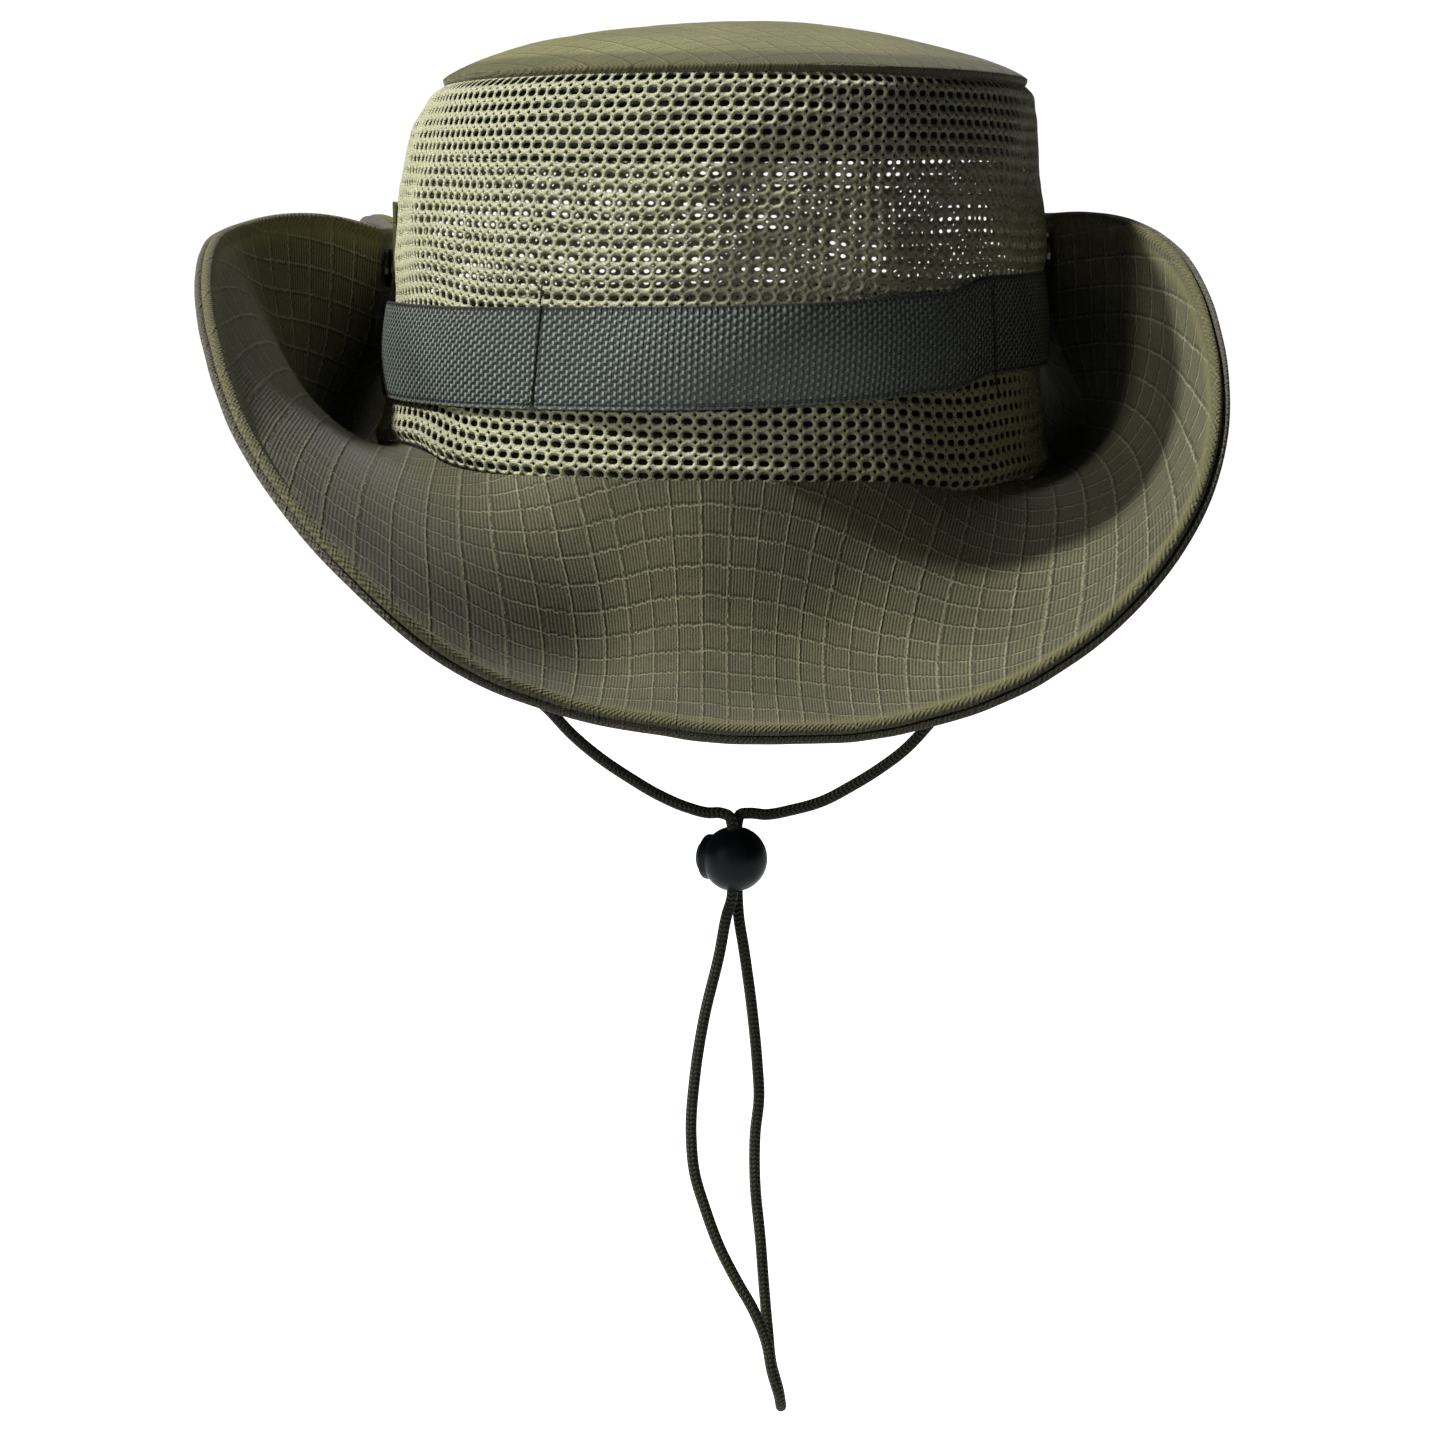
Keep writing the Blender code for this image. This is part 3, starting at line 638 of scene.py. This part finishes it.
def make_stage():
    """The camera, a white backdrop, round lamps aimed at the hat, and a pale floor."""
    camera = bpy.data.objects.new("camera", bpy.data.cameras.new("camera"))
    camera.location = CAMERA_PLACE
    camera.rotation_euler = (math.radians(CAMERA_TILT_DEG), 0, 0)
    camera.data.lens, camera.data.sensor_width = CAMERA_LENS, 36.0
    camera.data.clip_start, camera.data.clip_end = 0.05, 60.0
    bpy.context.scene.collection.objects.link(camera)
    bpy.context.scene.camera = camera
    bpy.context.scene.view_settings.view_transform = "Standard"

    world = bpy.data.worlds.new("studio")
    world.use_nodes = True
    nodes, links = world.node_tree.nodes, world.node_tree.links
    sky = nodes["Background"]
    sky.inputs["Color"].default_value = (0.93, 0.97, 1.0, 1.0)
    sky.inputs["Strength"].default_value = SKY
    backdrop = nodes.new("ShaderNodeBackground")
    backdrop.inputs["Color"].default_value = (1, 1, 1, 1)
    backdrop.inputs["Strength"].default_value = 1.05
    mix, path = nodes.new("ShaderNodeMixShader"), nodes.new("ShaderNodeLightPath")
    links.new(path.outputs["Is Camera Ray"], mix.inputs[0])
    links.new(sky.outputs[0], mix.inputs[1])
    links.new(backdrop.outputs[0], mix.inputs[2])
    links.new(mix.outputs[0], nodes["World Output"].inputs["Surface"])
    bpy.context.scene.world = world

    for name, azimuth, elevation, distance, size, power in LAMPS:
        a, e = math.radians(azimuth), math.radians(elevation)
        light = bpy.data.lights.new(name, "AREA")
        light.shape, light.size, light.energy = "DISK", size, power
        lamp = bpy.data.objects.new(name, light)
        out = Vector((-math.sin(a) * math.cos(e), -math.cos(a) * math.cos(e), math.sin(e)))
        lamp.location = out * distance + Vector((0, 0, 0.03))
        lamp.rotation_euler = out.to_track_quat("Z", "Y").to_euler()
        bpy.context.scene.collection.objects.link(lamp)

    corners = [
        (x * FLOOR_HALF, y * FLOOR_HALF, FLOOR_HEIGHT)
        for x, y in ((-1, -1), (1, -1), (1, 1), (-1, 1))
    ]
    floor_look = Look("floor_pale", Roughness=0.9).material
    floor = piece("floor", corners, [[0, 1, 2, 3]], floor_look)
    floor.visible_diffuse = False
    shader = floor.data.materials[0].node_tree.nodes["Principled BSDF"]
    shader.inputs["Base Color"].default_value = (0.9, 0.9, 0.9, 1)
    shader.inputs["Emission Color"].default_value = (1, 1, 1, 1)
    shader.inputs["Emission Strength"].default_value = 0.95


make_stage()


# ---------------------------------------------------------------- chin cord


def plunger_axes():
    """The way the plunger presses, and the way across it, along which the strands lie apart."""
    turn = math.radians(PLUNGER_TURN_DEG)
    return (Vector((math.cos(turn), -math.sin(turn), 0)),
            Vector((math.sin(turn), math.cos(turn), 0)))


def cord_routes():
    """Route points of the left strand, the right strand and the loop below the toggle."""
    _, across = plunger_axes()
    near, far = BALL_CENTRE - across * STRAND_SPREAD, BALL_CENTRE + across * STRAND_SPREAD

    def inside(strand, z):
        return (strand.x, strand.y, BALL_CENTRE.z + z)

    exits = {}
    for side in (-1, 1):
        x = float(crown_points(90 * side, 0, -2.3)[0])
        exits[side] = (x, 0, seam_height(90 * side) - 6.3)
    left = [
        exits[-1], (-84, 0, -12), (-79.5, 0, -24), (-71.5, 0, -38), (-59, 0, -52),
        (-44, 0, -65), (-38, 0, -71.5), (-31, 0, -77.5), (-23, 0, -83), (-15.5, 0, -87.5),
        (-8, -0.7, -90.7), (-2.5, -1, -92.1), (0.9, -1.3, -92.1), (3.1, -1.5, -93),
        inside(near, 9.4), inside(near, 5), inside(near, 0.15),
    ]
    right = [
        exits[1], (81.5, 0, -16), (78, 0, -28), (72, 0, -42), (64, 0, -56),
        (55, 0, -69), (49, 0, -75.5), (42.5, 0, -80.5), (35, 0, -85.2), (27.5, 0.2, -89.2),
        (19.5, 0.5, -91.6), (12.5, 1, -92.9), (8.3, 1.3, -92.6), (5.9, 1.5, -93),
        inside(far, 9.4), inside(far, 5), inside(far, 0.15),
    ]
    loop = [
        inside(near, -0.15), inside(near, -5), inside(near, -10), (2.5, -1.5, -119),
        (0.5, -2, -129.5), (-3.5, -2.5, -146.5), (-6, -3, -162.5), (-7, -3, -178.5),
        (-6, -3.5, -189), (-3.5, -4, -197.5), (0.5, -4.5, -208.5), (5, -5, -217.5),
        (9.5, -5.5, -225.5), (13, -5.5, -234.5), (14.5, -5.5, -242.5), (16.5, -4, -250),
        (17, 0, -254), (16.5, 4, -251.5), (14.5, 5.5, -244), (13.5, 5.5, -234.5),
        (12.5, 5, -223), (11.5, 4.5, -209.5), (10, 4, -193), (10, 3.5, -180),
        (11, 3, -169.5), (10.5, 3, -160), (9, 2.5, -144.5), (7, 2, -129.5),
        (5.5, 1.5, -119.5), inside(far, -10), inside(far, -5), inside(far, -0.15),
    ]
    return left, right, loop


def make_cords():
    """The three cord pieces, each with its path in metres and its length."""
    made = {}
    for name, route in zip(("left", "right", "loop"), cord_routes()):
        path = through(route, CORD_STEP)
        rings, places = tube(path, CORD_RADIUS, CORD_SIDES)
        cord = loft(f"chin_cord_{name}_braid", rings, BRAID, places)
        length = float(np.linalg.norm(np.diff(path, axis=0), axis=1).sum())
        made[name] = (cord, [tuple(p * MM) for p in through(route, CORD_PATH_STEP)], length)
        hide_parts(f"chin_cord_{name}")
    return made


cords = make_cords()


# ---------------------------------------------------------------- brim


def brim_profiles(rows):
    """The closed edge-on outlines of the upper and the lower cloth: (distance out, height)."""
    upper_bead = [
        (68.5, 1.1), (69.2, 1.35), (70.0, 1.75), (70.8, 1.9), (71.6, 1.6), (72.1, 1.0),
        (72.15, 0.4), (71.8, -0.15), (71.1, -0.45), (70.2, -0.4), (69.3, -0.1), (68.4, 0.25),
    ]
    lower_edge = [
        (68.4, -0.45), (69.5, -0.75), (70.6, -0.85), (71.4, -0.95), (71.9, -1.3),
        (71.95, -1.8), (71.6, -2.3), (70.9, -2.5), (70.0, -2.3), (69.2, -1.75), (68.4, -1.25),
    ]
    out, back = np.linspace(BRIM_TUCK, 67.7, rows), np.linspace(67.4, BRIM_TUCK, rows // 3)
    upper = [(s, 1.2) for s in out] + upper_bead + [(s, 0.3) for s in back]
    bottom = [(s, -1.2) for s in np.linspace(67.6, BRIM_TUCK, rows)]
    lower = [(s, -0.35) for s in out[::3]] + lower_edge + bottom
    return np.array(upper), np.array(lower)


def brim_cloth(name, degrees, profile, look):
    """One layer of the brim over these angles, a little uneven except at the seam."""
    middle, normal, ahead, seam, out = brim_surface(degrees)
    if normal[0, 0, 2] < 0:
        normal = -normal
    last = BRIM_ROWS - 1
    rings = np.zeros((len(degrees), len(profile), 3))
    flat = np.zeros_like(rings)
    for j, (s, height) in enumerate(profile):
        k = min(max(s, 0.0), BRIM_WIDTH) / BRIM_WIDTH * last
        a = min(int(k), last - 1)
        share = k - a
        spot, up, onward = (
            grid[:, a] * (1 - share) + grid[:, a + 1] * share for grid in (middle, normal, ahead)
        )
        x, y = (seam + out * s).T
        wave = ripple(x, y, 40, 5) * 0.3 + ripple(x, y, 11, 6) * 0.08
        wave *= min(1.0, max(0.0, s / 12))
        past = max(0.0, s - BRIM_WIDTH) + min(0.0, s)
        rings[:, j] = spot + up * (height + wave[:, None]) + onward * past
        beyond = s + (0.7 * (1.2 - height) if s > 68.5 else 0)
        flat[:, j, :2], flat[:, j, 2] = seam + out * beyond, beyond
    return loft(name, rings, look, flat, crease=60)


def make_brim():
    """Two cloths each side, from the middle of the front to the middle of the back. The left ones
    stand for the front of the brim too and the right ones for the back."""
    upper, lower = brim_profiles(30)
    layers = (
        ("upper", upper, RIPSTOP, ("brim_top", "brim_stiffener")),
        ("lower", lower, RIPSTOP_UNDER, ("brim_under",)),
    )
    for side, name, end in ((-1, "left", "front"), (1, "right", "back")):
        degrees = np.arange(0, 180.01, BRIM_STEP_DEG) * side
        for layer, profile, look, kinds in layers:
            cloth = brim_cloth(f"brim_{layer}_{name}_cloth", degrees, profile, look)
            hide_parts(*(f"{kind}_{part}" for part in (name, end) for kind in kinds))
            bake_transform(cloth)


make_brim()


# ---------------------------------------------------------------- crown


def make_dome():
    """The cloth top: a shallow dome whose edge tucks down into the seam."""
    rim = crown_points(np.arange(DOME_SIDES) * 360 / DOME_SIDES, CROWN_HEIGHT, 0.0)[:, :2]
    middle = np.array((HEAD_CENTRE_X + 2.5, 0))

    def arch(start, end, steps, height):
        """Points (share of the way out, height) over the dome."""
        shares = np.sin(np.linspace(start, end, steps) * np.pi / 2)
        return [(r, height + DOME_HEIGHT * (1 - r * r) ** 0.8) for r in shares]

    tuck = [(0.999, 95.3), (0.994, 94.6), (0.985, 94.1), (0.972, 94.0)]
    rings, flat = [], []
    turn = math.radians(DOME_TURN_DEG)
    for r, z in arch(0.04, 1, 26, 96) + tuck + arch(0.93, 0.04, 12, 94.8):
        plan = middle + (rim - middle) * r
        wave = ripple(*plan.T, 45, 11) * 0.6 + ripple(*plan.T, 14, 12) * 0.1
        spread = 1 + 0.06 * r**6
        x, y = (plan[:, 0] - middle[0]) * spread, plan[:, 1] * spread + 0.35 * (114 - z)
        rings.append(np.column_stack([plan, z + wave * min(1, 3 * (1 - r) + 0.1)]))
        # the third number, the distance out, darkens the dome towards its edge with the rim colour:
        # painted shade
        flat.append(np.column_stack([x * math.cos(turn) - y * math.sin(turn),
                                     x * math.sin(turn) + y * math.cos(turn),
                                     np.full(DOME_SIDES, BRIM_WIDTH * min(0.94, r))]))
    dome = loft("crown_top_cloth", np.array(rings), RIPSTOP_TOP_LIGHT_AND_SHADE, np.array(flat))
    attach(dome, "hat")
    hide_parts("crown_top")


def net_surface(u, v, degrees, lows):
    """Places on the crown for net coordinates: u in columns round the head, v in rows upwards."""
    deg = np.interp(u, np.arange(len(degrees)), degrees)
    low = np.interp(u, np.arange(len(degrees)), lows)
    a, b = u * NET_CELL_WIDTH, v * NET_CELL_HEIGHT
    sway = ripple(a, b, 90, 21) * 1.5
    deg = deg + sway * np.interp(u, np.arange(len(degrees)), np.gradient(degrees)) / NET_CELL_WIDTH
    share = v / NET_ROWS
    sag = ripple(a, b, 80, 22) * 0.9 * np.sin(np.pi * np.clip(share, 0, 1))
    z = low + (NET_TOP - low) * share + sag
    band = np.abs(z - BAND_HEIGHT)
    loose = np.clip((band - 12) / 8, 0, 1) * np.clip((95 - z) / 10, 0, 1)
    offset = -0.45 + loose * (0.7 + 0.9 * ripple(a, b, 46, 23) + 0.35 * ripple(a, b, 17, 24))
    bottom = np.clip((z - low) / 4.0, 0, 1)
    offset += 0.9 * np.sin(np.pi * np.clip((z - low) / 7.0, 0, 1)) - 0.7 * (1 - bottom) ** 2
    top = np.clip((NET_TOP - z) / 3.2, 0, 1)
    offset += -1.5 * (1 - top) ** 2 + 0.5 * np.sin(np.pi * np.clip((NET_TOP - z) / 6, 0, 1))
    return deg, z, offset


def net_lattice(columns, x, y):
    """Points (column, row, lift) and faces of the net: strands round eight-sided holes in level
    rows, each 2x by 2y of its cell, with a small diamond hole at each corner where four of them
    meet. A strand has a ridge on both faces and its edges in the middle, like round yarn."""
    tips = {"r": (0.27, 0), "u": (0, 0.31), "l": (-0.27, 0), "d": (0, -0.31)}
    dots = {"r": (0.115, 0), "u": (0, 0.135), "l": (-0.115, 0), "d": (0, -0.135)}
    cut = 0.13
    hole = [(cut - x, -y), (x - cut, -y), (x, cut - y), (x, y - cut),
            (x - cut, y), (cut - x, y), (-x, y - cut), (-x, cut - y)]
    around = [(0, 0, "r"), (1, 0, "l"), (1, 0, "u"), (1, 1, "d"),
              (1, 1, "l"), (0, 1, "r"), (0, 1, "d"), (0, 0, "u")]
    points, faces, index = [], [], {}

    def point(key, u, v, lift):
        if key not in index:
            index[key] = len(points)
            points.append((u, v, lift))
        return index[key]

    def ridge(i, j, tip, face):
        return point((i, j, tip, face), i + tips[tip][0], j + tips[tip][1], face)

    def collar(outer, inner):
        count = len(inner)
        for face, ring in outer.items():
            for k in range(count):
                m = (k + 1) % count
                corners = [ring[k], ring[m], inner[m], inner[k]]
                faces.append(corners if face > 0 else corners[::-1])

    for i in columns:
        for j in range(NET_ROWS):
            inner = [point((i, j, k), i + 0.5 + a, j + 0.5 + b, 0) for k, (a, b) in enumerate(hole)]
            collar({face: [ridge(i + a, j + b, tip, face) for a, b, tip in around]
                    for face in (1, -1)}, inner)
            if i > columns[0] and j > 0:
                inner = [point((i, j, "dot", tip), i + a, j + b, 0) for tip, (a, b) in dots.items()]
                collar({face: [ridge(i, j, tip, face) for tip in tips] for face in (1, -1)}, inner)

    other = {index[key]: index[(*key[:3], -1)] for key in index if len(key) == 4 and key[3] == 1}
    used = {}
    for face in faces:
        for a, b in zip(face, face[1:] + face[:1]):
            used[(a, b)] = used.get((a, b), 0) + 1
    for a, b in used:
        if (b, a) not in used and a in other and b in other:
            faces.append([b, a, other[a], other[b]])
    return np.array(points, float), faces


def make_net():
    """The net's two halves. The rings run on past a full turn, for the half at the back."""
    degrees = angles_by_length(NET_COLUMNS)
    lows = np.array([seam_height(d) + NET_ABOVE_SEAM for d in degrees])
    ring, ring_lows = np.append(degrees[:-1], degrees + 360), np.append(lows[:-1], lows)
    middles = np.interp(np.arange(2 * NET_COLUMNS) + 0.5, np.arange(len(ring)), ring)
    halves = (
        ("front", -SIDE_SEAM_DEG, SIDE_SEAM_DEG), ("back", SIDE_SEAM_DEG, 360 - SIDE_SEAM_DEG),
    )
    for name, start, end in halves:
        columns = [i for i, middle in enumerate(middles) if start <= middle < end]
        points, faces = net_lattice(columns, *NET_HOLES[name])
        u, v, lift = points.T
        deg, z, offset = net_surface(u, v, ring, ring_lows)
        uneven = ripple(u * NET_CELL_WIDTH, v * NET_CELL_HEIGHT, 5, 25)
        lift = lift * YARN_HALF * (1 + 0.15 * uneven)
        net = piece(f"crown_net_{name}_mesh", crown_points(deg, z, offset + lift), faces, NET)
        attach(net, "hat")
        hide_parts(f"crown_net_{name}")


def strip(name, degrees, low, high, profile, look, swell=None):
    """A strip of cloth round the crown, sewn to what it is on. profile is its closed edge-on
    outline, as (share of the width, distance outwards); swell(u, share) moves it outwards."""
    far = distances(crown_points(degrees, 30.0, 0.0))
    rings = np.zeros((len(degrees), len(profile), 3))
    flat = np.zeros_like(rings)
    lows = np.array([low(d) for d in degrees])
    highs = np.array([high(d) for d in degrees])
    width = float(np.mean(highs - lows))
    for j, (share, offset) in enumerate(profile):
        z = lows + (highs - lows) * share
        extra = swell(far, share) if swell else 0.0
        rings[:, j] = crown_points(degrees, z, offset + extra)
        flat[:, j, 0], flat[:, j, 1] = far, share * width
    made = loft(name, rings, look, flat, crease=50)
    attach(made, "hat")
    return made


def strip_profile(inner, outer, rows):
    """An edge-on outline between two distances outwards, with its two edges pointed."""
    edge = 0.012
    mid = (inner + outer) / 2
    shares = np.linspace(edge, 1 - edge, rows)
    up = [(s, outer) for s in shares]
    down = [(s, inner) for s in shares[::-1]]
    return [(0.0, mid)] + up + [(1.0, mid)] + down


def make_band():
    """The webbing: it bulges between its tacks, folds in beside one and steps up at another."""
    degrees = np.arange(-180, 180.01, 0.6)
    tacks = sorted((d + 180) % 360 - 180 for d in TACKS.values())
    far = distances(crown_points(degrees, 30.0, 0.0))
    at_tacks = np.interp(tacks, degrees, far)
    fold_at = np.interp(TACKS["front_left"] + 11, degrees, far)
    total = far[-1]

    def pull(u):
        gaps = np.min([np.abs((u - t + total / 2) % total - total / 2) for t in at_tacks], axis=0)
        return 1 - np.exp(-((gaps / 16.0) ** 2))

    def swell(u, share):
        arch = np.sin(np.pi * share)
        lean = ripple(u, np.zeros_like(u), 95, 31) * (share - 0.5) * 1.6
        fold = -1.5 * np.exp(-(((u - fold_at) / 11.0) ** 2)) * max(0.0, (share - 0.45) / 0.55)
        uneven = 0.35 * ripple(u, share * 24 + 0 * u, 38, 32)
        return pull(u) * (0.25 + 1.15 * arch + lean + fold + uneven)

    step_degrees = (-180, -100, 34, 42, 50, 60, 120, 180)
    step_heights = (0, 0, 0, 0.6, 3.0, 3.4, 1.0, 0)

    def shift(d):
        u = np.interp(d, degrees, far)
        rise = float(smooth(d, step_degrees, step_heights))
        return 0.35 * float(ripple(np.array(u), np.array(0.0), 120, 33)) + rise

    band = strip("hat_band_webbing", degrees,
                 lambda d: band_middle(d) - BAND_WIDTH / 2 + shift(d),
                 lambda d: band_middle(d) + BAND_WIDTH / 2 + shift(d),
                 strip_profile(0.35, 1.6, 22), WEBBING,
                 swell=swell)
    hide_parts("hat_band")


def make_tacks():
    """A column of stitches over the band at each tack, with loose thread ends above and below."""
    stitches = 11
    draw = np.random.default_rng(41)
    for place, deg in TACKS.items():
        z = band_middle(deg)
        shells = []
        low, high = z - BAND_WIDTH / 2 + 1.0, z + BAND_WIDTH / 2 - 0.6
        lean = draw.uniform(-1.2, 1.2)
        for k in range(stitches):
            a, b = (low + (high - low) * s for s in (k / stitches, (k + 0.86) / stitches))
            along = np.linspace(0, 1, 7)
            zs = a + (b - a) * along
            degs = deg + (lean * ((zs - low) / (high - low) - 0.5)) / 1.6
            degs = degs + draw.uniform(-0.08, 0.08)
            arch = 1.55 + 0.42 * np.sin(np.pi * along)
            shells.append(thread_shell(crown_points(degs, zs, arch), 0.34))
        for end, sign in ((high, 1), (low, -1)):
            for _ in range(3):
                wander = np.cumsum(draw.normal(0, 0.35, 9))
                along = np.linspace(0, 1, 9)
                length = draw.uniform(3.0, 5.5) if sign > 0 else draw.uniform(1.5, 3.0)
                zs = end + sign * along * length
                degs = deg + lean * sign * 0.31 + wander * along
                shells.append(thread_shell(crown_points(degs, zs, 1.9 + 0.7 * along), 0.17, 6))
        tack = joined(f"band_tack_{place}_stitches", shells, THREAD)
        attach(tack, "hat")
        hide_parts(f"band_tack_{place}")


def make_linings():
    """The facing inside the top seam and the sweatband inside the head opening."""
    turn = np.append(np.arange(0, 360, 1.5), 360.0)
    facing = strip("crown_seam_facing_cloth", turn,
                   lambda d: FACING_TOP - FACING_WIDTH, lambda d: FACING_TOP,
                   strip_profile(-2.9, -2.3, 8), DARK_CLOTH)
    sweat = strip("sweatband_cloth", turn,
                  lambda d: seam_height(d) - SWEATBAND_DROP,
                  lambda d: seam_height(d) - SWEATBAND_DROP + SWEATBAND_WIDTH,
                  strip_profile(-4.6, -3.5, 14), DARK_CLOTH,
                  swell=lambda u, share: 0.25 * ripple(u, share * 35 + 0 * u, 30, 51))
    for lining, node in ((facing, "crown_seam_facing"), (sweat, "sweatband")):
        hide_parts(node)


make_dome()
make_net()
make_band()
make_tacks()
make_linings()


# ---------------------------------------------------------------- snaps, anchors and toggle


def make_snaps():
    """Metal and thread for the frame's own snaps and anchors, and the two cloth patches. The left
    patch leans out at its top."""
    for node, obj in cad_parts.items():
        if node.startswith("snap_") and not node.startswith("snap_patch"):
            paint(obj, SNAP_METAL)
    for side, name in ((-1, "left"), (1, "right")):
        degrees = np.linspace(-PATCH_HALF_DEG, PATCH_HALF_DEG, 9) + 90 * side
        # the patches take the paler copy of the ripstop: painted light
        patch = strip(f"snap_patch_{name}_cloth", degrees,
                      lambda d: band_middle(d) + BAND_WIDTH / 2 + 0.8, lambda d: PATCH_TOP,
                      strip_profile(0.35, 1.1, 10), RIPSTOP_TOP_LIGHT_AND_SHADE,
                      swell=lambda u, share: 1.8 * share**2 if side < 0 else 0.0)
        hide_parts(f"snap_patch_{name}")
        paint(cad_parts[f"cord_anchor_{name}"], THREAD)


def make_toggle():
    """The ball, with its collar and its holes for the plunger and the strands, and the button."""
    press, across = plunger_axes()
    collar = [
        (-8.3, 0), (-8.3, 5.2), (-8.25, 5.55), (-8.0, 5.85), (-7.6, 5.95), (-6.9, 5.95),
        (-6.55, 6.05),
    ]
    steps = np.linspace(math.acos(6.1 / BALL_RADIUS), math.pi, 40)
    ball = [(-BALL_RADIUS * math.cos(a), BALL_RADIUS * math.sin(a)) for a in steps]
    body = piece("toggle_ball", *turned(collar + ball, BALL_CENTRE, press, 96), PLASTIC)
    bore = [(0, PLUNGER_RADIUS + 0.3), (18.0, PLUNGER_RADIUS + 0.3)]
    carve(body, turned(bore, BALL_CENTRE + press * -12, press))
    bore = [(0, CORD_RADIUS + 0.45), (24.0, CORD_RADIUS + 0.45)]
    for strand in (-STRAND_SPREAD, STRAND_SPREAD):
        hole = BALL_CENTRE + across * strand - Vector((0, 0, 12))
        carve(body, turned(bore, hole, (0, 0, 1), 32))
    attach(body, "toggle")
    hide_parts("toggle_body")
    r = PLUNGER_RADIUS
    dome = [
        (-10.2, 0), (-10.15, 0.3 * r), (-9.95, 0.6 * r), (-9.55, 0.82 * r), (-9.0, 0.95 * r),
        (-8.3, r), (3.3, r), (3.3, 0),
    ]
    plunger = piece("toggle_button", *turned(dome, BALL_CENTRE, press), PLASTIC, crease=38)
    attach(plunger, "plunger")
    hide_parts("toggle_plunger")
    paint(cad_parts["toggle_spring"], STEEL)
    return body, plunger


make_snaps()
ball, button = make_toggle()

for name, (cord, path, length) in cords.items():
    if name == "loop":
        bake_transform(cord)
    else:
        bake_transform(cord)
